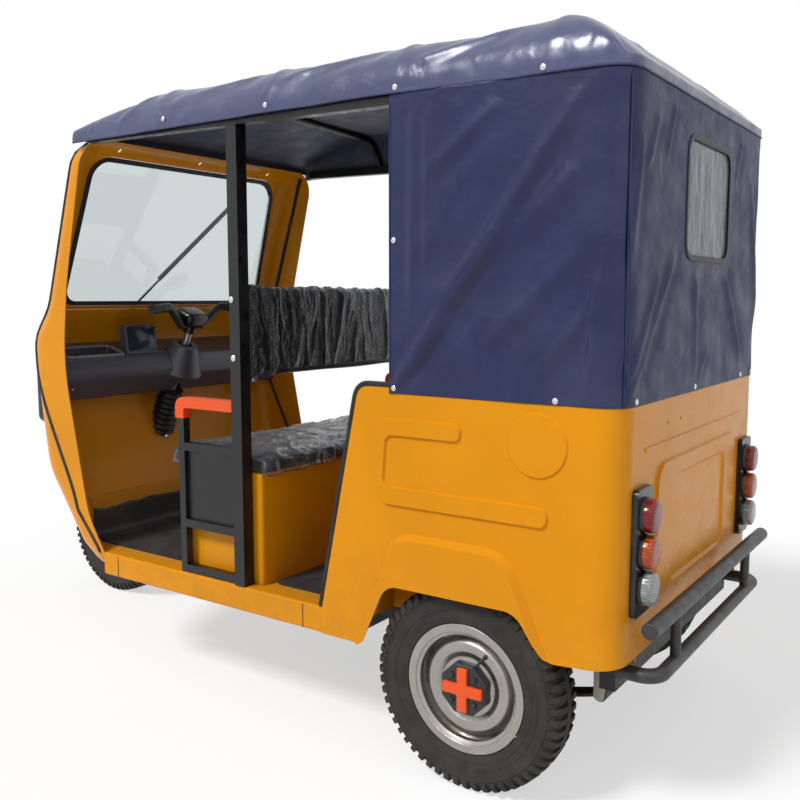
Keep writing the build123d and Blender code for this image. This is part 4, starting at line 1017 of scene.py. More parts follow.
@dataclass
class Stage:
    """Pale floor, soft studio light and the camera."""

    eye: Place = (2.440, 1.107, 1.254)
    yaw: float = 55.28
    pitch: float = 6.52
    lens: float = 40.46
    sensor: float = 36.0
    sky: float = 0.26
    lamps: tuple[tuple[str, Place, float, float], ...] = (
        ("key_light", (42, 0, 70), 2.55, 14), ("fill_light", (50, 0, 150), 0.5, 60),
    )
    floor_half: float = 60
    floor_grey: float = 0.86
    floor_glow: float = 1.17
    glow_share: float = 0.5

    def build(self) -> None:
        """Set the view transform, then lay the floor, the light and the camera."""
        bpy.context.scene.view_settings.view_transform = "Standard"
        self.lay_floor()
        self.light_world()
        for lamp in self.lamps:
            self.hang_lamp(*lamp)
        self.set_camera()

    def lay_floor(self) -> None:
        """Lay a wide floor that keeps the shadow and shows white to the camera and to reflections."""
        mesh = bmesh.new()
        bmesh.ops.create_grid(mesh, x_segments=1, y_segments=1, size=self.floor_half)
        floor = linked(mesh, "floor")
        pale = bpy.data.materials.new("pale_floor")
        board = NodeBoard(pale)
        board.surface(Base_Color=(self.floor_grey,) * 3, Roughness=0.95, Specular_IOR_Level=0.0)
        matt = board.tree.nodes["Principled BSDF"].outputs[0]
        glow = board.fed("Emission", {"Strength": self.floor_glow}).outputs[0]
        share = board.reckon("MULTIPLY", self.seen(board), self.glow_share)
        mixed = board.fed("MixShader", {0: share, 1: matt, 2: glow})
        board.feed(board.tree.nodes["Material Output"].inputs["Surface"], mixed.outputs[0])
        floor.data.materials.append(pale)

    def seen(self, board: NodeBoard) -> Socket:
        """1 for rays from the camera, from gloss and through glass.

        Args:
            board: Board to add the nodes to.

        Returns:
            The value.
        """
        path = board.node("LightPath").outputs
        first = board.reckon("MAXIMUM", path["Is Camera Ray"], path["Is Glossy Ray"])
        return board.reckon("MAXIMUM", first, path["Is Transmission Ray"])

    def light_world(self) -> None:
        """Light from all round, and a white background for what sees it."""
        world = bpy.data.worlds.new("studio")
        bpy.context.scene.world = world
        board = NodeBoard(world)
        back = board.tree.nodes["Background"].inputs
        board.feed(back["Color"], (1, 1, 1))
        board.feed(back["Strength"], board.spread(self.seen(board), (0, 1), (self.sky, 1)))

    def hang_lamp(self, name: str, turn: Place, power: float, spread: float) -> None:
        """Hang a soft distant lamp.

        Args:
            name: Name of the lamp.
            turn: Turn about x, y and z in degrees, from shining straight down.
            power: Its strength.
            spread: Its angular size in degrees.
        """
        light = bpy.data.lights.new(name, "SUN")
        light.energy = power
        light.angle = math.radians(spread)
        holder = bpy.data.objects.new(name, light)
        holder.rotation_euler = [math.radians(angle) for angle in turn]
        bpy.context.scene.collection.objects.link(holder)

    def set_camera(self) -> None:
        """Place the camera at the photograph's view."""
        camera = bpy.data.cameras.new("camera")
        camera.lens = self.lens
        camera.sensor_width = self.sensor
        yaw, pitch = math.radians(self.yaw), math.radians(self.pitch)
        way = Vector((-math.sin(yaw) * math.cos(pitch), -math.cos(yaw) * math.cos(pitch), -math.sin(pitch)))
        holder = bpy.data.objects.new("camera", camera)
        aim = way.to_track_quat("-Z", "Y").to_matrix().to_4x4()
        holder.matrix_world = Matrix.Translation(spot(*self.eye)) @ aim
        bpy.context.scene.collection.objects.link(holder)
        bpy.context.scene.camera = holder


@dataclass
class PaintedBody(Assembly):
    """Steel body, frame and running gear: the CAD nodes with their finishes."""

    coats: tuple[tuple[Finish, tuple[str, ...]], ...] = (
        (YELLOW, ("front_cowl", "nose_fairing", "windscreen_frame", "side_sills", "quarter_panel_left",
                  "quarter_panel_right", "rear_panel", "seat_box", "bench_base")),
        (YELLOW_FLOOR, ("floor_pan",)),
        (MAT, ("floor_mats",)),
        (BLACK_STEEL, ("door_posts", "door_guards", "roof_frame", "handlebar")),
        (ORANGE, ("armrests",)),
        (CHASSIS, ("chassis_frame",)),
        (BATTERY, ("battery_box",)),
        (CAST, ("rear_axle",)),
        (SPRING, ("leaf_springs",)),
        (SHACKLE, ("spring_shackles",)),
        (BUMPER, ("rear_bumper",)),
        (FORK, ("front_fork",)),
        (RIM, ("front_rim", "rear_rim_left", "rear_rim_right")),
        (HUB, ("rear_hub_left", "rear_hub_right")),
        (TYRE, ("front_tyre", "rear_tyre_left", "rear_tyre_right")),
        # The dash takes its lighter copy of the moulding, with painted light in it.
        (DASH_LIT, ("dash_panel",)),
        (PLASTIC, ("wiper", "handlebar_cover", "front_mudguard")),
        (DARK_PLASTIC, ("headlamps", "tail_lamps")),
        (TRIM, ("windscreen_gasket", "handlebar_grips")),
        (GLASS, ("windscreen",)),
        (WINDOW, ("rear_window",)),
        (CANOPY, ("roof_canvas", "side_canvas_left", "side_canvas_right")),
        (CANOPY_REAR, ("rear_canvas",)),
        (VINYL, ("driver_cushion", "driver_backrest", "bench_cushion", "bench_backrest")),
    )

    def build(self) -> None:
        """Dress the CAD nodes."""
        for finish, nodes in self.coats:
            self.shop.dress(finish, nodes)


@dataclass
class Canopy(Assembly):
    """Coated cloth over the hoops: the roof, both side walls and the rear wall with its clear window."""

    half: float = 0.5785
    front: float = -1.480
    rear: float = 0.4066
    hip_front: float = -1.095
    hip_rear: float = 0.235
    hip_round: float = 0.04
    front_z: float = 1.797
    rear_z: float = 1.763
    top: float = 1.910
    crown: float = 1.9015
    shoulder: float = 1.8888
    crown_curve: float = 1.6
    roll: float = 0.128
    corner: float = 0.0736
    eave_z: float = 1.750
    eave_climb: float = 0.036
    eave_rear: float = 0.403
    eave_run: float = 1.883
    skirt: float = 0.011
    skirt_least: float = 0.008
    skirt_wave: Pair = (0.0015, 11)
    roof_hems: float = 0.06
    roof_cloth: float = 0.002
    hoops: tuple[float, ...] = (-1.075, -0.633, -0.200, 0.215)
    hoop_calm: Pair = (0.02, 0.09)
    front_calm: Pair = (0.01, 0.06)
    rear_calm: Pair = (0.30, 0.40)
    sag: float = 0.012
    sag_curve: float = 1.5
    sag_lost: float = 0.7
    sag_sides: Pair = (0.40, 0.56)
    lift_cap: float = 0.004
    ridge: Pair = (0.0014, 0.0038)
    ridge_sides: Pair = (0.45, 0.565)
    ridge_width: float = 0.016
    roof_loose: Layers = ((0.0022, 7), (0.0012, 19))
    wall: float = 0.5766
    wall_front: float = -0.217
    wall_calm: float = 0.05
    side_y: float = 0.2
    rear_y: float = 0.4
    wall_gap: float = 0.0012
    wall_lap: float = 0.008
    wall_cloth: float = 0.0018
    hem: float = 1.010
    hem_calm: Pair = (0.012, 0.07)
    eave_calm: Pair = (-0.06, -0.02)
    window_calm: Pair = (0.015, 0.07)
    fold_cap: float = 0.0125
    side_dip: float = 0.008
    side_loose: Layers = ((0.0035, 4.5), (0.0014, 13))
    side_drop: float = 0.75
    rear_dip: float = 0.006
    rear_loose: Layers = ((0.004, 4), (0.0014, 12))
    seam_x: float = 0.545
    cell: float = 0.007
    smooth: float = 60
    window: Span = ((-0.188, 0.188), (1.352, 1.650))
    window_r: float = 0.04
    pane_lap: float = 0.022
    pane_back: float = 0.0052
    pane_calm: float = 0.05
    pane_cell: float = 0.004
    pane_sheet: float = 0.0009
    pane_waves: tuple[tuple[float, float, float, float], ...] = ((0.0035, 26, 0.16, 3), (0.0016, 60, 0.3, 8))
    binding_grow: float = 0.007
    binding_r: float = 0.052
    binding_width: float = 0.015
    binding_back: float = 0.0014
    binding_height: float = 0.0026
    binding_round: float = 0.001
    skirt_piping: float = 0.0021
    skirt_piping_up: float = 0.001
    skirt_steps: tuple[int, int] = (120, 80)
    wall_piping: float = 0.0026
    wall_steps: int = 20
    seam_foot: Pair = (0.0005, 0.002)
    seam_rise: float = 0.71
    front_foot: Pair = (-0.0008, 0.001)
    front_drop: float = 0.03
    snap_size: Pair = (0.0075, 0.0045)
    side_folds: tuple[Fold, ...] = (
        Fold((-0.187, 1.039), (0.274, 1.674), 0.0143, 0.020),
        Fold((-0.125, 1.209), (0.287, 1.534), 0.0104, 0.034),
        Fold((0.069, 1.147), (0.285, 1.346), 0.0078, 0.022),
        Fold((-0.094, 1.558), (0.076, 1.686), 0.0065, 0.018),
        Fold((-0.142, 1.750), (-0.149, 1.243), 0.0065, 0.016),
        Fold((-0.107, 1.739), (-0.105, 1.310), 0.0052, 0.014),
        Fold((0.337, 1.303), (0.324, 1.064), 0.0078, 0.014),
        Fold((-0.191, 1.043), (-0.007, 1.230), 0.0065, 0.012),
        Fold((0.180, 1.060), (0.330, 1.230), 0.0065, 0.018),
    )
    rear_folds: tuple[Fold, ...] = (
        Fold((0.283, 1.354), (0.531, 1.040), 0.0130, 0.020),
        Fold((-0.144, 1.347), (-0.367, 1.052), 0.0104, 0.020),
        Fold((0.411, 1.658), (0.471, 1.543), 0.0065, 0.014),
        Fold((0.300, 1.700), (0.347, 1.582), 0.0065, 0.014),
        Fold((-0.300, 1.700), (-0.247, 1.582), 0.0052, 0.014),
        Fold((0.106, 1.326), (0.085, 1.065), 0.0078, 0.022),
        Fold((0.376, 1.307), (0.564, 1.049), 0.0078, 0.016),
        Fold((0.510, 1.596), (0.552, 1.303), 0.0078, 0.018),
        Fold((-0.420, 1.560), (-0.520, 1.200), 0.0091, 0.024),
        Fold((-0.022, 1.120), (0.045, 1.033), 0.0052, 0.012),
    )
    roof_folds: tuple[Fold, ...] = (
        Fold((0.17, 0.40), (0.03, 0.24), 0.007, 0.016),
        Fold((0.22, 0.42), (0.08, 0.86), 0.005, 0.020),
        Fold((0.06, 0.46), (0.15, 0.80), 0.005, 0.016),
        Fold((0.07, 0.86), (0.17, 1.22), 0.006, 0.018),
        Fold((0.20, 0.88), (0.10, 1.26), 0.005, 0.022),
        Fold((0.05, 1.32), (0.14, 1.62), 0.005, 0.015),
        Fold((0.40, 1.80), (0.32, 1.94), 0.004, 0.016),
        Fold((0.90, 1.80), (0.98, 1.94), 0.004, 0.016),
        Fold((1.13, 0.40), (1.27, 0.24), 0.007, 0.016),
        Fold((1.24, 0.46), (1.15, 0.82), 0.005, 0.018),
        Fold((1.23, 0.86), (1.13, 1.24), 0.006, 0.018),
        Fold((1.25, 1.32), (1.16, 1.62), 0.005, 0.015),
    )
    snaps: tuple[Place, ...] = (
        (0.579, -1.040, 1.781), (0.579, -0.629, 1.773), (0.579, -0.198, 1.765), (0.579, 0.200, 1.757),
        (0.578, -0.203, 1.395), (0.578, -0.203, 1.024), (0.578, 0.244, 1.020),
    )
    rear_snaps: tuple[Pair, ...] = ((0.505, 1.022), (0.075, 1.022), (-0.377, 1.022), (-0.500, 1.022))

    def build(self) -> None:
        """Hang the cloth, then bind and stud it."""
        self.hang_roof()
        for side in Side:
            self.hang_side(side)
        self.glaze(self.hang_rear())
        self.bind()
        self.stud()

    def eave(self, y: float) -> float:
        """Height of the hoops' feet, which climbs towards the front."""
        return self.eave_z + self.eave_climb * (self.eave_rear - y) / self.eave_run

    def slopes(self) -> Pair:
        """Flat lengths of the roof's front slope and of its rear slope."""
        ahead = math.hypot(self.hip_front - self.front, self.top - self.front_z)
        return ahead, math.hypot(self.rear - self.hip_rear, self.top - self.rear_z)

    def roof_size(self) -> Pair:
        """Flat width and length of the roof cloth above its skirt."""
        width = 2 * (self.half - self.roll + self.roll * QUARTER)
        return width, sum(self.slopes()) + self.hip_rear - self.hip_front

    def roof_form(self, a: float, b: float) -> Vector:
        """The roof's place for a point of its flat cloth.

        Args:
            a: Place across the cloth.
            b: Place along the cloth, from the front.

        Returns:
            The place in the frame.
        """
        flat = self.half - self.roll
        ahead, behind = self.slopes()
        width, length = self.roof_size()
        side = 1 if a > width / 2 else -1
        out = abs(a - width / 2)
        turn = max(0.0, out - flat) / self.roll
        x = min(out, flat) + self.roll * math.sin(turn)
        z = self.shoulder - self.roll * (1 - math.cos(turn))
        z += (self.crown - self.shoulder) * (1 - (min(out, flat) / flat) ** self.crown_curve)
        if b < ahead:
            y = self.front + (self.hip_front - self.front) * b / ahead
            slope = self.front_z + (self.top - self.front_z) * b / ahead
        elif b > length - behind:
            share = (b - length + behind) / behind
            y = self.hip_rear + (self.rear - self.hip_rear) * share
            slope = self.top + (self.rear_z - self.top) * share
        else:
            y, slope = self.hip_front + b - ahead, self.top
        z = soft_min(z, slope, self.hip_round)
        lift = self.roof_lift(a, b, x, y)
        x += lift * math.sin(turn)
        z += lift * math.cos(turn)
        x, y = self.round_corner(x, y)
        return spot(side * x, y, z)

    def roof_lift(self, a: float, b: float, x: float, y: float) -> float:
        """How far the roof cloth stands off its even form.

        Args:
            a: Place across the flat cloth.
            b: Place along the flat cloth.
            x: Distance from the vehicle's middle.
            y: Place lengthways.

        Returns:
            The lift, below 0 where the cloth sags between hoops.
        """
        stops = (self.front, *self.hoops)
        sag = 0.0
        for first, second in zip(stops, stops[1:]):
            if first < y < second:
                share = (y - first) / (second - first)
                sag = self.sag * (4 * share * (1 - share)) ** self.sag_curve
        near = min(abs(y - hoop) for hoop in self.hoops)
        loose = ease(near, *self.hoop_calm) * (1 - ease(y, *self.rear_calm))
        loose *= ease(y - self.front, *self.front_calm)
        folds = sum(fold.lift(a, b) for fold in self.roof_folds)
        lift = (folds + crumple(Vector((a, b, 0)), self.roof_loose)) * loose
        lift -= sag * (1 - self.sag_lost * ease(x, *self.sag_sides))
        least, more = self.ridge
        ridge = least + more * (1 - ease(x, *self.ridge_sides))
        return min(self.lift_cap, lift) + ridge * math.exp(-(near / self.ridge_width) ** 2)

    def round_corner(self, x: float, y: float) -> Pair:
        """Round the roof's rear corners as seen from above.

        Args:
            x: Distance from the vehicle's middle.
            y: Place lengthways.

        Returns:
            The rounded place.
        """
        dx, dy = x - (self.half - self.corner), y - (self.rear - self.corner)
        if dx <= 0 or dy <= 0:
            return x, y
        scale = max(dx, dy) / math.hypot(dx, dy)
        return self.half - self.corner + dx * scale, self.rear - self.corner + dy * scale

    def skirt_foot(self, place: Vector) -> float:
        """Height of the skirt's lower edge below a place on the roof's edge."""
        drop = self.eave(place.y - AXLE_Y) - self.skirt
        return min(place.z - self.skirt_least, drop) + crumple(place, (self.skirt_wave,))

    def hang_roof(self) -> None:
        """Lay the roof cloth and let its skirt down."""
        width, length = self.roof_size()
        mesh = sheet((width, length), self.cell, self.roof_form)
        flat = mesh.loops.layers.uv.active
        rim = [edge for edge in mesh.edges if edge.is_boundary]
        grown = bmesh.ops.extrude_edge_only(mesh, edges=rim)["geom"]
        hanging = {item for item in grown if isinstance(item, bmesh.types.BMVert)}
        for vert in hanging:
            vert.co.z = self.skirt_foot(vert.co)
        for face in mesh.faces:
            if any(vert in hanging for vert in face.verts):
                for loop in face.loops:
                    loop[flat].uv = (loop.vert.co.x + loop.vert.co.y, loop.vert.co.z)
        upright = [edge for edge in mesh.edges if sum(vert in hanging for vert in edge.verts) == 1]
        bmesh.ops.subdivide_edges(mesh, edges=upright, cuts=2)
        bmesh.ops.recalc_face_normals(mesh, faces=mesh.faces)
        # The roof takes the lighter navy copy, which carries painted highlight.
        roof = self.cloth(mesh, "roof_cloth", CANOPY_ROOF_LIT, "roof_canvas", self.roof_cloth)

    def cloth(self, mesh: Mesh, name: str, finish: Finish, node: str, thickness: float) -> Piece:
        """Make a lined piece of the canopy.

        Args:
            mesh: The open sheet.
            name: Name of the piece.
            finish: Finish of its outer face.
            node: CAD node that it stands for.
            thickness: Thickness of the cloth.

        Returns:
            The piece.
        """
        made = self.shop.piece(mesh, name, finish, "canopy_navy", stands_for=(node,), smooth=self.smooth)
        thickened(made, thickness, lining=LINING)
        return made

    @property
    def wall_r(self) -> float:
        """Radius of the wall's rear corner."""
        return self.corner - self.wall_gap

    @property
    def straight(self) -> float:
        """Length of the side wall up to its rounded corner."""
        return self.rear - self.wall_gap - self.wall_r - self.wall_front

    def wall_place(self, reach: float) -> tuple[float, float, float, float]:
        """A place along the wall, seen from above.

        Args:
            reach: Length along the left wall from its front edge, round the corner and on across the rear.

        Returns:
            x, y and the two parts of the outward way.
        """
        radius, straight = self.wall_r, self.straight
        turn = max(0.0, min(QUARTER, (reach - straight) / radius))
        x = self.wall - radius + radius * math.cos(turn)
        y = min(reach, straight) + self.wall_front + radius * math.sin(turn)
        x -= max(0.0, reach - straight - radius * QUARTER)
        return x, y, math.cos(turn), math.sin(turn)

    def seam_reach(self) -> float:
        """Length along the left wall from its front edge to the corner's seam."""
        return self.straight + self.wall_r * math.acos((self.seam_x - self.wall + self.wall_r) / self.wall_r)

    def stand_off(self, off: float, z: float, dip: float) -> float:
        """Keep a wall's folds within bounds, flat at the hem and under the skirt.

        Args:
            off: How far the folds stand off.
            z: Height on the wall.
            dip: How far the cloth may go in.

        Returns:
            The stand-off within its bounds.
        """
        calm = ease(z - self.hem, *self.hem_calm)
        tucked = ease(z - self.eave_z, *self.eave_calm)
        return max(-dip * calm, min(self.fold_cap, off)) * (1 - tucked)

    def hang_side(self, side: Side) -> None:
        """Hang one side wall.

        Args:
            side: Which side.
        """
        length = self.seam_reach()
        height = self.eave(self.side_y) - self.wall_lap - self.hem

        def form(a: float, b: float) -> Vector:
            """The wall's place for a point of its flat cloth.

            Args:
                a: Place along the wall.
                b: Place up the wall.

            Returns:
                The place in the frame.
            """
            x, y, out_x, out_y = self.wall_place(a)
            z = self.hem + (self.eave(y) - self.wall_lap - self.hem) * b / height
            loose = crumple(Vector((y, z, side.value)), self.side_loose)
            loose *= ease(y, self.wall_front, self.wall_front + self.wall_calm)
            off = self.stand_off(sum(fold.lift(y, z) for fold in self.side_folds) + loose, z, self.side_dip)
            return spot(side.value * (x + out_x * off), y + out_y * off, z)
        mesh = sheet((length, height), self.cell, form)
        face_out(mesh, side.way)
        node = f"side_canvas_{side.label}"
        wall = self.cloth(mesh, f"side_cloth_{side.label}", CANOPY, node, self.wall_cloth)

    def from_window(self, x: float, z: float) -> tuple[float, Vector]:
        """How far a place lies from the window's edge.

        Args:
            x: Place across.
            z: Height.

        Returns:
            The distance, below 0 inside, and the way out.
        """
        (left, right), (low, high) = self.window
        dx, dz = x - (left + right) / 2, z - (low + high) / 2
        qx = abs(dx) - ((right - left) / 2 - self.window_r)
        qz = abs(dz) - ((high - low) / 2 - self.window_r)
        past_x, past_z = max(qx, 0.0), max(qz, 0.0)
        distance = math.hypot(past_x, past_z) + min(max(qx, qz), 0.0) - self.window_r
        if max(qx, qz) <= 0:
            past_x, past_z = float(qx > qz), float(qx <= qz)
        way = Vector((past_x, past_z)).normalized()
        return distance, Vector((math.copysign(way.x, dx), math.copysign(way.y, dz)))

    def hang_rear(self) -> Piece:
        """Hang the rear wall and cut its window.

        Returns:
            The wall.
        """
        start = self.seam_reach()
        reach = self.straight + self.wall_r * QUARTER - start + self.wall - self.wall_r
        size = (2 * reach, self.eave(self.rear_y) - self.wall_lap - self.hem)

        def form(a: float, b: float) -> Vector:
            """The rear wall's place for a point of its flat cloth.

            Args:
                a: Place along the wall.
                b: Place up the wall.

            Returns:
                The place in the frame.
            """
            side = 1 if a < reach else -1
            x, y, out_x, out_y = self.wall_place(start + (a if side > 0 else 2 * reach - a))
            z = self.hem + b
            loose = crumple(Vector((side * x, z, 5)), self.rear_loose)
            folds = sum(fold.lift(side * x, z) for fold in self.rear_folds)
            off = self.stand_off(folds + loose, z, self.rear_dip)
            off *= ease(self.from_window(side * x, z)[0], *self.window_calm)
            return spot(side * (x + out_x * off), y + out_y * off, z)
        mesh = sheet(size, self.cell, form)
        middles = [(face, face.calc_center_median()) for face in mesh.faces]
        inside = [face for face, middle in middles if self.from_window(middle.x, middle.z)[0] < 0]
        bmesh.ops.delete(mesh, geom=inside, context="FACES")
        for vert in {vert for edge in mesh.edges if edge.is_boundary for vert in edge.verts}:
            distance, way = self.from_window(vert.co.x, vert.co.z)
            if abs(distance) < 2 * self.cell:
                vert.co.x -= way.x * distance
                vert.co.z -= way.y * distance
        face_out(mesh, TO_REAR)
        wall = self.cloth(mesh, "rear_cloth", CANOPY_REAR, "rear_canvas", self.wall_cloth)
        (left, right), (low, high) = self.window
        return wall

    def glaze(self, rear: Piece) -> None:
        """Sew the clear sheet behind the window and bind its edge.

        Args:
            rear: The rear wall's cloth.
        """
        (left, right), (low, high) = self.window
        lap = self.pane_lap
        size = (right - left + 2 * lap, high - low + 2 * lap)

        def form(a: float, b: float) -> Vector:
            """The clear sheet with its upright ripples.

            Args:
                a: Place across.
                b: Place upwards.

            Returns:
                The place in the frame.
            """
            x, z = left - lap + a, low - lap + b
            inside = ease(-self.from_window(x, z)[0], 0.0, self.pane_calm)
            wave = sum(height * ripple(Vector((x, z * draw, layer)), scale)
                       for height, scale, draw, layer in self.pane_waves)
            return spot(x, self.rear - self.pane_back - abs(wave) * inside, z)

        def outside(x: float, z: float) -> Vector:
            """A place of the binding's foot on the rear wall."""
            return spot(x, self.rear - self.binding_back, z)
        mesh = sheet(size, self.pane_cell, form)
        face_out(mesh, TO_REAR)
        pane = self.shop.piece(mesh, "window_clear_sheet", WINDOW, "clear_sheet",
                               stands_for=("rear_window",), smooth=80)
        thickened(pane, self.pane_sheet)
        binding = panel(rectangle(self.window, self.binding_grow), self.binding_r, outside,
                        TO_REAR * self.binding_height, self.binding_round, self.binding_width)
        self.shop.piece(binding, "window_binding", BINDING, "rubber_black")

    def bind(self) -> None:
        """Pipe the skirt's lower edge, the corner seams and the walls' front edges."""
        width, length = self.roof_size()
        along, across = self.skirt_steps
        line = [self.roof_form(0, step * length / along) for step in range(along + 1)]
        line += [self.roof_form(step * width / across, length) for step in range(1, across)]
        line += [self.roof_form(width, length - step * length / along) for step in range(along + 1)]
        above = self.skirt_piping_up
        edge = [Vector((place.x, place.y, self.skirt_foot(place) + above)) for place in line]
        x, y, out_x, out_y = self.wall_place(self.seam_reach())
        off, up = self.seam_foot
        seam = spot(x + out_x * off, y + out_y * off, self.hem + up)
        aside, behind = self.front_foot
        foot = spot(self.wall + aside, self.wall_front + behind, self.hem)
        rise = self.eave(self.wall_front) - self.front_drop - self.hem
        shares = [step / self.wall_steps for step in range(self.wall_steps + 1)]
        upright = [seam + UP * (self.seam_rise * share) for share in shares]
        front = [foot + UP * (rise * share) for share in shares]
        pipings = {
            "skirt_piping": tube(edge, self.skirt_piping),
            "corner_piping": both_sides(tube(upright, self.wall_piping)),
            "wall_edge_piping": both_sides(tube(front, self.wall_piping)),
        }
        for name, mesh in pipings.items():
            self.shop.piece(mesh, name, CANOPY_BAND, "canopy_navy")

    def stud(self) -> None:
        """Press the snap fasteners on."""
        places = [(spot(side.value * x, y, z), side.way) for x, y, z in self.snaps for side in Side]
        places += [(spot(x, self.rear, z), TO_REAR) for x, z in self.rear_snaps]
        self.shop.piece(studs(places, *self.snap_size), "snap_fasteners", BRIGHT, "fork_steel")


@dataclass(frozen=True)
class Pad:
    """A padded seat piece: its CAD node, the ways it is held from, its seams and its film."""

    node: str
    held: tuple[Place, ...]
    fill: float = 0.7
    channels: tuple[float, ...] = ()
    film: CrinkledFilm | None = None
    film_flat: Pair = (0, 0)

    @property
    def lies_flat(self) -> bool:
        """Whether the pad lies flat, as a cushion does, or stands."""
        return self.node.endswith("cushion")

    @property
    def facing(self) -> Vector:
        """The way that its sitting face looks."""
        return UP if self.lies_flat else TO_FRONT


@dataclass
class Upholstery(Assembly):
    """Driver's seat and passengers' bench, with clear film left on the driver's."""

    voxel: float = 0.010
    shrink: float = 0.006
    held_cells: float = 0.6
    pressure: float = 4.0
    quality: int = 4
    frames: int = 20
    swell_cap: float = 0.009
    channel_depth: float = 0.008
    channel_width: float = 0.011
    piping: float = 0.0036
    edge_steps: int = 160
    edge_round: float = 0.03
    edge_in: float = 0.012
    film_off: float = 0.0022
    film_thickness: float = 0.0005
    film_open: float = 0.45
    film_ridges: tuple[Place, ...] = ((0.006, 7, 9), (0.003, 5, 20))
    film_hem: float = 0.02
    film_drop: float = 0.010
    film_wave: Layers = ((0.008, 16),)
    pads: tuple[Pad, ...] = (
        Pad("driver_cushion", ((0, 0, -1),), fill=0.8, film=FILM, film_flat=(1.18, 0.56)),
        Pad("driver_backrest", ((1, 0, 0), (-1, 0, 0)), film=FILM_BACK, film_flat=(1.08, 0.66)),
        Pad("bench_cushion", ((0, 0, -1),), channels=(-0.265, 0.0, 0.265)),
        Pad("bench_backrest", ((0, 1, 0),), channels=(-0.265, 0.0, 0.265)),
    )

    def build(self) -> None:
        """Swell and sew each pad, then wrap the driver's seat."""
        sewn = [(pad, self.sew(pad)) for pad in self.pads]
        for pad, soft in sewn:
            if pad.film:
                self.wrap(pad, soft)

    def swollen(self, pad: Pad) -> Mesh:
        """The pad's form after its cover has been blown up a little.

        Args:
            pad: Which pad.

        Returns:
            The closed mesh.
        """
        low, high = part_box(pad.node)
        mesh = opened(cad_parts[pad.node].data)
        bmesh.ops.remove_doubles(mesh, verts=mesh.verts, dist=WELD)
        smaller = [(side - 2 * self.shrink) / side for side in high - low]
        bmesh.ops.scale(mesh, vec=smaller, space=Matrix.Translation(-(low + high) / 2), verts=mesh.verts)
        back = sum((Vector(way) for way in pad.held), Vector()) * self.shrink
        bmesh.ops.translate(mesh, vec=back, verts=mesh.verts)
        form = linked(mesh, pad.node + "_form")
        remesh = form.modifiers.new("remesh", "REMESH")
        remesh.mode = "VOXEL"
        remesh.voxel_size = self.voxel
        applied(form)
        start = [vert.co.copy() for vert in form.data.vertices]
        self.blow_up(form, pad)
        mesh = opened(form.data)
        bpy.data.objects.remove(form)
        for vert, place in zip(mesh.verts, start):
            move = vert.co - place
            if move.length > self.swell_cap:
                vert.co = place + move * (self.swell_cap / move.length)
        bmesh.ops.smooth_vert(mesh, verts=mesh.verts, factor=0.5, use_axis_x=True, use_axis_y=True,
                              use_axis_z=True)
        return mesh

    def blow_up(self, form: Piece, pad: Pad) -> None:
        """Run the cloth with pressure inside it, held where it is fixed.

        Args:
            form: The remeshed pad.
            pad: Which pad.
        """
        corners = [Vector(corner) for corner in form.bound_box]
        fixed = form.vertex_groups.new(name="fixed")
        for way in map(Vector, pad.held):
            reach = max(way.dot(corner) for corner in corners) - self.held_cells * self.voxel
            fixed.add([vert.index for vert in form.data.vertices if way.dot(vert.co) > reach], 1.0, "REPLACE")
        cloth = form.modifiers.new("cover", "CLOTH")
        cloth.settings.quality = self.quality
        cloth.settings.use_pressure = True
        cloth.settings.uniform_pressure_force = self.pressure
        cloth.settings.effector_weights.gravity = 0
        cloth.settings.vertex_group_mass = "fixed"
        cloth.point_cache.frame_end = self.frames
        for step in range(1, self.frames + 1):
            bpy.context.scene.frame_set(step)
        applied(form)
        bpy.context.scene.frame_set(1)

    def sew(self, pad: Pad) -> Piece:
        """Make a pad, press its channels in and pipe its edge.

        Args:
            pad: Which pad.

        Returns:
            The padded piece.
        """
        mesh = self.swollen(pad)
        mesh.normal_update()
        for vert in mesh.verts:
            for line in pad.channels:
                pull = math.exp(-((vert.co.x - line) / self.channel_width) ** 2)
                pull *= max(0.0, vert.normal.dot(pad.facing))
                vert.co -= pad.facing * self.channel_depth * pull
        tree = BVHTree.FromBMesh(mesh)
        soft = self.shop.piece(mesh, pad.node + "_pad", VINYL, "seat_vinyl", stands_for=(pad.node,),
                               smooth=80)
        finer = soft.modifiers.new("finer", "SUBSURF")
        finer.levels = finer.render_levels = 1
        line = [tree.find_nearest(place)[0] for place in self.edge_line(pad)]
        around = zip(line[-1:] + line, line, line[1:] + line[:1])
        line = [(before + 2 * place + after) / 4 for before, place, after in around]
        self.shop.piece(tube(line + line[:1], self.piping), pad.node + "_piping", VINYL, "seat_vinyl")
        return soft

    def edge_line(self, pad: Pad) -> list[Vector]:
        """Places round the edge of a pad's sitting face.

        Args:
            pad: Which pad.

        Returns:
            Places just outside the cover.
        """
        low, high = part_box(pad.node)
        middle, half = (low + high) / 2, (high - low) / 2
        wide = half.x - self.edge_round
        long = (half.y if pad.lies_flat else half.z) - self.edge_round
        places = []
        for step in range(self.edge_steps):
            turn = math.tau * step / self.edge_steps
            a, b = math.cos(turn), math.sin(turn)
            side = Vector((a, b)) * (1 / max(abs(a) / wide, abs(b) / long) + self.edge_round)
            if pad.lies_flat:
                places.append(Vector((middle.x + side.x, middle.y + side.y, high.z - self.edge_in)))
            else:
                places.append(Vector((middle.x + side.x, low.y + self.edge_in, middle.z + side.y)))
        return places

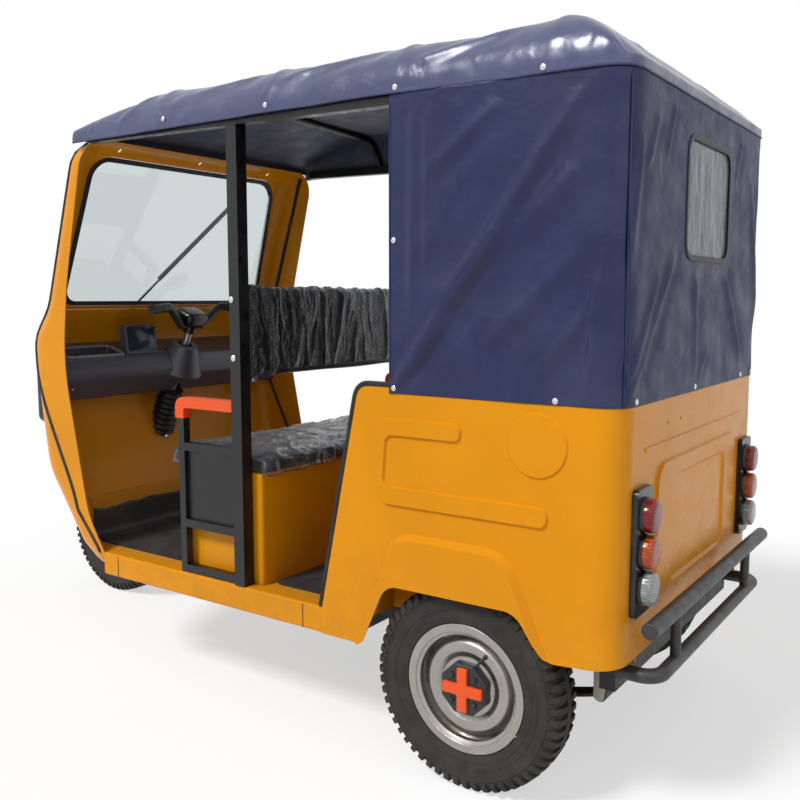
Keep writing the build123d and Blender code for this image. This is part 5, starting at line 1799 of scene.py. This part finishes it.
    def wrap(self, pad: Pad, soft: Piece) -> None:
        """Lay the clear film over a pad, crinkled, with a loose hem.

        Args:
            pad: Which pad.
            soft: The padded piece below the film.
        """
        mesh = opened(soft.data)
        mesh.normal_update()
        open_ways = [-UP, *map(Vector, pad.held)]
        under = [face for face in mesh.faces
                 if any(face.normal.dot(way) > self.film_open for way in open_ways)]
        bmesh.ops.delete(mesh, geom=under, context="FACES")
        bmesh.ops.subdivide_edges(mesh, edges=mesh.edges[:], cuts=1, use_grid_fill=True)
        mesh.normal_update()
        low = min(vert.co.z for vert in mesh.verts)
        for vert in mesh.verts:
            place = vert.co.copy()
            drawn = place * Vector(pad.film.stretch)
            ridge = sum(height * max(0.0, 1 - sharp * abs(ripple(drawn, scale)))
                        for height, sharp, scale in self.film_ridges)
            vert.co += vert.normal * (self.film_off + ridge)
            hanging = 1 - ease(place.z, low, low + self.film_hem)
            vert.co.z -= hanging * (self.film_drop + crumple(place, self.film_wave))
        film = self.shop.piece(mesh, pad.node + "_film", pad.film, "clear_sheet", smooth=75)
        thickened(film, self.film_thickness, 1.0)


@dataclass
class Wheels(Assembly):
    """Tyres with their tread, and the fittings on the hubs."""

    radius: float = 0.269
    steps: int = 112
    lugs: int = 56
    lug_width: float = 0.0150
    lug_round: float = 0.0015
    lug_outline: tuple[Pair, ...] = (
        (0.0135, 0.2580), (0.0135, 0.2690), (0.0440, 0.2655), (0.0520, 0.2565), (0.0557, 0.2405),
        (0.0525, 0.2380),
    )
    half_section: tuple[Pair, ...] = (
        (0.0, 0.2682), (0.0095, 0.2680), (0.0110, 0.2615), (0.0300, 0.2602), (0.0415, 0.2565),
        (0.0485, 0.2490), (0.0520, 0.2390), (0.0527, 0.2362), (0.0543, 0.2352), (0.0543, 0.2334),
        (0.0531, 0.2322), (0.0533, 0.2200), (0.0527, 0.2086), (0.0538, 0.2072), (0.0538, 0.2052),
        (0.0521, 0.2038), (0.0508, 0.1925), (0.0518, 0.1912), (0.0518, 0.1840), (0.0498, 0.1800),
        (0.0482, 0.1705), (0.0400, 0.1698),
    )
    rear_x: float = 0.512
    front_y: float = -2.040
    cross: Pair = (0.0144, 0.0574)
    cross_r: float = 0.004
    cross_round: float = 0.0028
    cross_from: float = 0.0496
    cross_height: float = 0.0110
    bolt_r: float = 0.046
    bolt_profile: tuple[Pair, ...] = (
        (-0.001, 0), (-0.001, 0.0095), (0.0015, 0.0095), (0.0015, 0.0072), (0.0062, 0.0072), (0.0072, 0.0058),
        (0.0072, 0),
    )
    hub_face: float = 0.0522
    valve: Pair = (0.053, 0.091)
    valve_from: float = 0.2
    valve_lean: float = 0.5
    valve_profile: tuple[Pair, ...] = (
        (-0.004, 0), (-0.004, 0.0062), (0.003, 0.0058), (0.006, 0.0040), (0.024, 0.0037), (0.025, 0.0030),
        (0.030, 0.0030), (0.031, 0),
    )

    def build(self) -> None:
        """Build the three tyres and dress both rear hubs."""
        self.shoe("front_tyre", spot(0, self.front_y, self.radius), Body.FRONT_WHEEL)
        for side, body in zip(Side, (Body.LEFT_WHEEL, Body.RIGHT_WHEEL)):
            centre = spot(side.value * self.rear_x, 0, self.radius)
            self.shoe(f"rear_tyre_{side.label}", centre, body)
            self.fit_hub(side, centre, body)

    def shoe(self, node: str, centre: Vector, body: Body) -> None:
        """Build one tyre.

        Args:
            node: CAD node that it stands for.
            centre: The wheel's centre.
            body: The wheel's body.
        """
        far_half = tuple((-along, radius) for along, radius in reversed(self.half_section[1:]))
        section = self.half_section + far_half + self.half_section[:1]
        carcass = lathed(section, centre, TO_LEFT, self.steps)
        tyre = joined([carcass, *(self.lug_row(centre, side) for side in Side)])
        self.shop.piece(tyre, node + "_tread", TYRE, "tyre_black", body, stands_for=(node,), smooth=35)

    def lug_row(self, centre: Vector, side: Side) -> Mesh:
        """The shoulder lugs on one side of a tyre.

        Args:
            centre: The wheel's centre.
            side: Which shoulder.

        Returns:
            All lugs of the row.
        """
        def lift(along: float, radius: float) -> Vector:
            """A place of the lug's outline on its leading face."""
            return centre + Vector((side.value * along, -self.lug_width / 2, radius))
        mesh = panel(self.lug_outline, 0.0, lift, TO_REAR * self.lug_width, self.lug_round)
        pitch = math.tau / self.lugs
        start = Matrix.Rotation(pitch / 4 * side.value, 3, "X")
        bmesh.ops.rotate(mesh, cent=centre, matrix=start, verts=mesh.verts)
        bmesh.ops.spin(mesh, geom=mesh.verts[:] + mesh.edges[:] + mesh.faces[:], cent=centre, axis=TO_LEFT,
                       angle=math.tau - pitch, steps=self.lugs - 1, use_duplicate=True)
        bmesh.ops.recalc_face_normals(mesh, faces=mesh.faces)
        return mesh

    def fit_hub(self, side: Side, centre: Vector, body: Body) -> None:
        """Put the cross, the bolts and the valve on a rear wheel.

        Args:
            side: Which side.
            centre: The wheel's centre.
            body: The wheel's body.
        """
        out = side.way
        wide, long = self.cross
        arms = [(wide, wide), (wide, long), (-wide, long)]
        for _ in range(3):
            arms += [(-b, a) for a, b in arms[-3:]]

        def lift(a: float, b: float) -> Vector:
            """A place of the cross at its foot."""
            return centre + out * self.cross_from + Vector((0, a, b))
        cross = panel(arms, self.cross_r, lift, out * self.cross_height, self.cross_round)
        self.shop.piece(cross, f"hub_cross_{side.label}", ORANGE, "armrest_orange", body)
        bolts = []
        for quarter in range(4):
            turn = math.radians(45 + 90 * quarter)
            foot = centre + out * self.hub_face + Vector((0, math.cos(turn), math.sin(turn))) * self.bolt_r
            bolts.append(lathed(self.bolt_profile, foot, out, 6))
        self.shop.piece(joined(bolts), f"hub_bolts_{side.label}", CAST, "hub_black", body, smooth=30)
        aside = Vector((0, *self.valve))
        foot = touch(f"rear_rim_{side.label}", centre + out * self.valve_from + aside, -out)
        stem = lathed(self.valve_profile, foot, out - aside.normalized() * self.valve_lean, 12)
        self.shop.piece(stem, f"valve_{side.label}", TRIM, "rubber_black", body)


@dataclass
class Lamps(Assembly):
    """Tail-lamp lenses on their plates and headlamp lenses in their housings."""

    tail_x: float = 0.4525
    plate_y: float = 0.4170
    tail_rows: tuple[tuple[Finish, float], ...] = (
        (RED_LENS, 0.756), (AMBER_LENS, 0.670), (CLEAR_LENS, 0.584),
    )
    tail_steps: int = 40
    lens_profile: tuple[Pair, ...] = (
        (-0.001, 0.0), (-0.001, 0.0397), (0.0, 0.0397), (0.020, 0.0397), (0.0255, 0.0382), (0.0290, 0.0345),
        (0.0308, 0.0270), (0.0314, 0.0140), (0.0316, 0.0),
    )
    rim_profile: tuple[Pair, ...] = (
        (0.0, 0.0392), (0.0, 0.0432), (0.0065, 0.0432), (0.0080, 0.0420), (0.0080, 0.0392), (0.0, 0.0392),
    )
    head: Place = (0.410, -1.8938, 0.950)
    head_steps: int = 48
    head_profile: tuple[Pair, ...] = (
        (-0.001, 0), (-0.001, 0.0500), (0.0042, 0.0500), (0.0065, 0.0400), (0.0082, 0.0220), (0.0088, 0),
    )
    ring_profile: tuple[Pair, ...] = (
        (0.0, 0.0492), (0.0070, 0.0492), (0.0092, 0.0510), (0.0092, 0.0545), (0.0066, 0.0560),
        (0.0062, 0.0519), (0.0, 0.0518), (0.0, 0.0492),
    )

    def build(self) -> None:
        """Set the lenses."""
        rims = []
        for finish, z in self.tail_rows:
            centre = spot(self.tail_x, self.plate_y, z)
            lens = both_sides(lathed(self.lens_profile, centre, TO_REAR, self.tail_steps))
            self.shop.piece(lens, f"tail_{finish.name}", finish, "lamp_shell", smooth=50)
            rims.append(lathed(self.rim_profile, centre, TO_REAR, self.tail_steps))
        self.shop.piece(both_sides(joined(rims)), "tail_lens_rims", DARK_PLASTIC, "plastic_black")
        centre = spot(*self.head)
        lens = both_sides(lathed(self.head_profile, centre, TO_FRONT, self.head_steps))
        self.shop.piece(lens, "headlamp_lenses", CLEAR_LENS, "lamp_shell", smooth=50)
        ring = both_sides(lathed(self.ring_profile, centre, TO_FRONT, self.head_steps))
        self.shop.piece(ring, "headlamp_rings", BRIGHT, "fork_steel")


@dataclass
class Cab(Assembly):
    """Driver's fittings: handlebar covers, display, tray rim, screws, post bolts and the column's gaiter."""

    foot: Place = (0.0, -1.9992, 0.2500)
    rake: float = 25.0
    bar: tuple[Place, ...] = ((0.045, 0.985, 0.0), (0.128, 1.065, 0.004), (0.262, 1.085, -0.056))
    bar_bend: float = 0.045
    cover_r: float = 0.0165
    grip_length: float = 0.112
    grip_gap: float = 0.004
    grip_r: float = 0.0186
    grip_collar: Pair = (0.004, 0.003)
    grip_plain: float = 0.006
    grip_cap: float = 0.0038
    grip_ribs: int = 12
    rib_ends: Place = (0.005, 0.006, 0.008)
    rib_depth: float = 0.0009
    pod: Place = (0.104, 0.092, 0.060)
    pod_round: float = 0.02
    pod_taper: Pair = (0.86, 0.9)
    gaiter: Pair = (0.520, 0.705)
    gaiter_r: Pair = (0.056, 0.046)
    gaiter_folds: int = 16
    gaiter_depth: float = 0.009
    dash_line: Place = (-1.630, 1.035, 0.295)
    tray: Span = ((0.262, 0.513), (-1.753, -1.642))
    tray_r: float = 0.022
    tray_rim: float = 0.012
    tray_gap: float = 0.0004
    tray_raised: Place = (0, 0.001, 0.006)
    tray_round: float = 0.002
    display: Span = ((0.117, 0.243), (1.052, 1.144))
    display_r: float = 0.008
    display_gap: float = 0.0002
    display_raised: Place = (0, 0.0022, 0.0003)
    display_round: float = 0.0008
    display_line: Place = (-1.652, 1.035, 14 / 118)
    screw: Place = (0.500, -1.6440, 0.9290)
    screw_size: Pair = (0.007, 0.004)
    post_x: float = 0.575
    post_bolts: tuple[Pair, ...] = ((-0.777, 1.247), (-0.773, 1.078))
    bolt_size: Pair = (0.0095, 0.006)

    def build(self) -> None:
        """Build the fittings."""
        self.cover_bar()
        self.fit_grip()
        self.fit_pod()
        self.dress_dash()
        self.fit_gaiter()
        bolts = [(spot(side.value * self.post_x, y, z), side.way)
                 for y, z in self.post_bolts for side in Side]
        self.shop.piece(studs(bolts, *self.bolt_size), "post_bolts", BRIGHT, "fork_steel")

    def column(self, side: float, rise: float, ahead: float) -> Vector:
        """A place given from the foot of the steering axis.

        Args:
            side: Distance to the left.
            rise: Distance up the axis.
            ahead: Distance ahead of the axis.

        Returns:
            The place in the frame.
        """
        turn = math.radians(self.rake)
        up, fore = Vector((0, math.sin(turn), math.cos(turn))), Vector((0, -math.cos(turn), math.sin(turn)))
        return spot(*self.foot) + up * rise + fore * ahead + TO_LEFT * side

    def bar_end(self) -> tuple[Vector, Vector]:
        """The tip of the left arm and the way towards it."""
        elbow, tip = (self.column(*place) for place in self.bar[1:])
        return tip, (tip - elbow).normalized()

    def cover_bar(self) -> None:
        """Cover the handlebar's arms up to the grips."""
        start, elbow = (self.column(*place) for place in self.bar[:2])
        tip, along = self.bar_end()
        end = tip - along * (self.grip_length + self.grip_gap)
        arm = tube(rounded([(start, 0), (elbow, self.bar_bend), (end, 0)]), self.cover_r, 6)
        self.shop.piece(both_sides(arm), "bar_covers", PLASTIC, "plastic_black", Body.STEERING)

    def fit_grip(self) -> None:
        """Turn the ribbed grip of the right arm."""
        tip, along = self.bar_end()
        length, radius = self.grip_length - self.grip_gap, self.grip_r
        collar, flange = self.grip_collar
        land, slope, groove = self.rib_ends
        ribs = [(0.0, 0.0), (0.0, radius + flange), (collar, radius + flange)]
        for step in range(self.grip_ribs):
            start = self.grip_plain + step * (length - 2 * self.grip_plain) / self.grip_ribs
            ribs += [(start, radius), (start + land, radius), (start + slope, radius - self.rib_depth),
                     (start + groove, radius - self.rib_depth)]
        ribs += [(length, radius), (length + self.grip_cap, radius - flange), (length + collar, 0.0)]
        grip = lathed(ribs, (tip - along * length) * MIRROR, along * MIRROR, 28)
        self.shop.piece(grip, "throttle_grip", GREY_GRIP, "plastic_black", Body.STEERING, smooth=50)

    def fit_pod(self) -> None:
        """Put the tapered pod over the bar's clamp."""
        low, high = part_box("handlebar_cover")
        pod = bmesh.new()
        bmesh.ops.create_cube(pod, size=1.0)
        bmesh.ops.scale(pod, vec=self.pod, verts=pod.verts)
        bevelled(pod, pod.edges[:], self.pod_round, 4)
        lower = [vert for vert in pod.verts if vert.co.z < 0]
        bmesh.ops.scale(pod, vec=(*self.pod_taper, 1), verts=lower)
        lean = Matrix.Rotation(math.radians(-self.rake), 3, "X")
        bmesh.ops.rotate(pod, cent=(0, 0, 0), matrix=lean, verts=pod.verts)
        bmesh.ops.translate(pod, vec=(low + high) / 2, verts=pod.verts)
        self.shop.piece(pod, "bar_pod", DARK_PLASTIC, "plastic_black", Body.STEERING,
                        stands_for=("handlebar_cover",), smooth=50)

    def dress_dash(self) -> None:
        """Fit the tray's rim, the display's face and the screws."""
        def on_dash(x: float, y: float) -> Vector:
            """A place on the dash's sloping top."""
            start, height, climb = self.dash_line
            return spot(x, y, height + (start - y) * climb + self.tray_gap)

        def on_display(x: float, z: float) -> Vector:
            """A place on the display housing's leaning face."""
            start, height, lean = self.display_line
            return spot(x, start - (z - height) * lean + self.display_gap, z)
        raised = Vector(self.tray_raised)
        rim = panel(rectangle(self.tray), self.tray_r, on_dash, raised, self.tray_round, self.tray_rim)
        # The rim's light grey is painted highlight on a shiny black rim.
        self.shop.piece(rim, "tray_rim", TRAY_RIM_HIGHLIGHT, "plastic_black")
        raised = Vector(self.display_raised)
        face = panel(rectangle(self.display), self.display_r, on_display, raised, self.display_round)
        self.shop.piece(face, "display_face", DISPLAY, "plastic_black")
        x, y, z = self.screw
        screws = [(spot(side.value * x, y, z), TO_REAR - UP) for side in Side]
        self.shop.piece(studs(screws, *self.screw_size), "dash_screws", BRIGHT, "fork_steel")

    def fit_gaiter(self) -> None:
        """Put the folded rubber gaiter round the steering column."""
        foot, axis = self.column(0, 0, 0), self.column(0, 1, 0) - self.column(0, 0, 0)
        (low, high), (wide, narrow) = self.gaiter, self.gaiter_r
        bellows = [(low, 0.0)]
        for step in range(self.gaiter_folds + 1):
            share = step / self.gaiter_folds
            radius = wide - (wide - narrow) * share - self.gaiter_depth * (step % 2)
            bellows.append((low + (high - low) * share, radius))
        bellows.append((high, 0.0))
        self.shop.piece(lathed(bellows, foot, axis, 28), "column_gaiter", TRIM, "rubber_black", smooth=25)


@dataclass
class Trim(Assembly):
    """Rubber edging of the door openings, the turned-up front mat and the sills' joint lines."""

    face: float = 0.5735
    beside: float = 0.7
    bead: float = 0.0075
    bead_flat: float = 0.55
    sunk: float = 0.002
    skins: tuple[str, ...] = ("front_cowl", "windscreen_frame")
    rear_edge: tuple[tuple[Pair, float], ...] = (
        ((-0.4555, 0.400), 0), ((-0.3240, 1.0315), 0.050), ((-0.190, 1.0315), 0),
    )
    pillar: tuple[tuple[Pair, float], ...] = (
        ((-1.409, 0.330), 0), ((-1.432, 0.410), 0.045), ((-1.535, 0.525), 0),
    )
    pillar_rise: Pair = (0.525, 1.76)
    pillar_step: float = 0.03
    pillar_lean: float = 0.23
    pillar_turn: Pair = (-0.03, 0.58)
    corner_from: Pair = (0.50, -2.4)
    corner_reach: float = 0.048
    flap: Pair = (0.960, 0.150)
    flap_cell: float = 0.010
    flap_thickness: float = 0.003
    flap_turn: float = 0.025
    flap_lies: float = 0.030
    flap_gap: float = 0.006
    flap_lift: float = 0.0005
    flap_hold: float = 0.03
    flap_edge: tuple[Place, ...] = ((0.035, 4, 2), (0.012, 13, 5))
    flap_wave: Layers = ((0.003, 9),)
    flap_wave_bend: float = 1.5
    mat_top: float = 0.4012
    toe: Place = (0.25, -1.30, 0.430)
    joint_x: float = 0.5752
    joint_rise: Pair = (0.326, 0.394)
    joint_r: float = 0.0014
    joints: Pair = (-1.330, -0.520)

    def build(self) -> None:
        """Run the edging, lay the mat's flap and mark the sills' joints."""
        line = rounded([(spot(self.face, y, z), radius) for (y, z), radius in self.rear_edge], 12)
        edging = both_sides(tube(line, self.bead, 4, self.bead_flat))
        self.shop.piece(edging, "opening_edging", TRIM, "rubber_black")
        corners = [(spot(self.beside, y, z), radius) for (y, z), radius in self.pillar]
        foot, top = self.pillar_rise
        rise = range(1, int((top - foot) / self.pillar_step) + 1)
        line = rounded(corners) + [self.on_corner(foot + step * self.pillar_step) for step in rise]
        edging = both_sides(tube([self.on_skin(place) for place in line], self.bead, 4))
        self.shop.piece(edging, "pillar_edging", TRIM, "rubber_black")
        self.turn_mat_up()
        lines = [[spot(self.joint_x, y, z) for z in self.joint_rise] for y in self.joints]
        joints = both_sides(joined(tube(line, self.joint_r, 2) for line in lines))
        self.shop.piece(joints, "sill_joints", TRIM, "rubber_black")

    def on_skin(self, place: Vector) -> Vector:
        """A place moved sideways onto the front body's skin, a little below its face."""
        hits = [touch(node, place, -TO_LEFT).x for node in self.skins]
        skin = max((x for x in hits if x < place.x), default=self.face)
        return Vector((skin - self.sunk, place.y, place.z))

    def on_corner(self, z: float) -> Vector:
        """A place beside the windscreen's rounded corner at a height.

        Args:
            z: The height.

        Returns:
            The place, outside the body.
        """
        start = spot(*self.corner_from, z)
        hits = [touch(node, start, TO_REAR) for node in self.skins]
        ahead = min(hit.y for hit in hits if hit != start) + self.corner_reach
        (y, foot), _ = self.pillar[-1]
        beside = y + AXLE_Y - (z - foot) * self.pillar_lean
        return Vector((self.beside, beside + (ahead - beside) * ease(z - foot, *self.pillar_turn), z))

    def turn_mat_up(self) -> None:
        """Lay the front mat's loose flap up the toe board."""
        width, length = self.flap
        radius, lies = self.flap_turn, self.flap_lies
        start = spot(*self.toe)
        hits = [touch(node, start, TO_FRONT) for node in ("floor_pan", "front_cowl")]
        front = max(hit.y for hit in hits if hit != start) - AXLE_Y + self.flap_gap + radius

        def form(a: float, b: float) -> Vector:
            """The flap's place for a point of its flat rubber.

            Args:
                a: Place across.
                b: Place along.

            Returns:
                The place in the frame.
            """
            x = a - width / 2
            edge = sum(reach * ripple(Vector((x, 0, layer)), scale) for reach, scale, layer in self.flap_edge)
            run = b * (1 + edge * ease(b, self.flap_hold, length) / length) - lies
            bend = max(0.0, min(run, radius * QUARTER)) / radius
            y = front + max(0.0, -run) - radius * math.sin(bend)
            z = self.mat_top + self.flap_lift + radius * (1 - math.cos(bend))
            z += max(0.0, run - radius * QUARTER)
            wave = crumple(Vector((x, z, 1)), self.flap_wave) * ease(bend, 0, self.flap_wave_bend)
            return spot(x, y + wave, z)
        mesh = sheet(self.flap, self.flap_cell, form)
        face_out(mesh, TO_REAR + UP)
        flap = self.shop.piece(mesh, "mat_flap", MAT, "rubber_black", smooth=60)
        thickened(flap, self.flap_thickness, 1.0)


def main() -> None:
    """Build every sub-assembly in order and report its pieces."""
    logging.basicConfig(level=logging.INFO, format="%(name)s: %(message)s")
    shop = Workshop()
    for assembly in (PaintedBody, Canopy, Upholstery, Wheels, Lamps, Cab, Trim):
        assembly(shop).build()
    Stage().build()
    LOG.info("%d new pieces", len(shop.made))


if __name__ == "__main__":
    main()
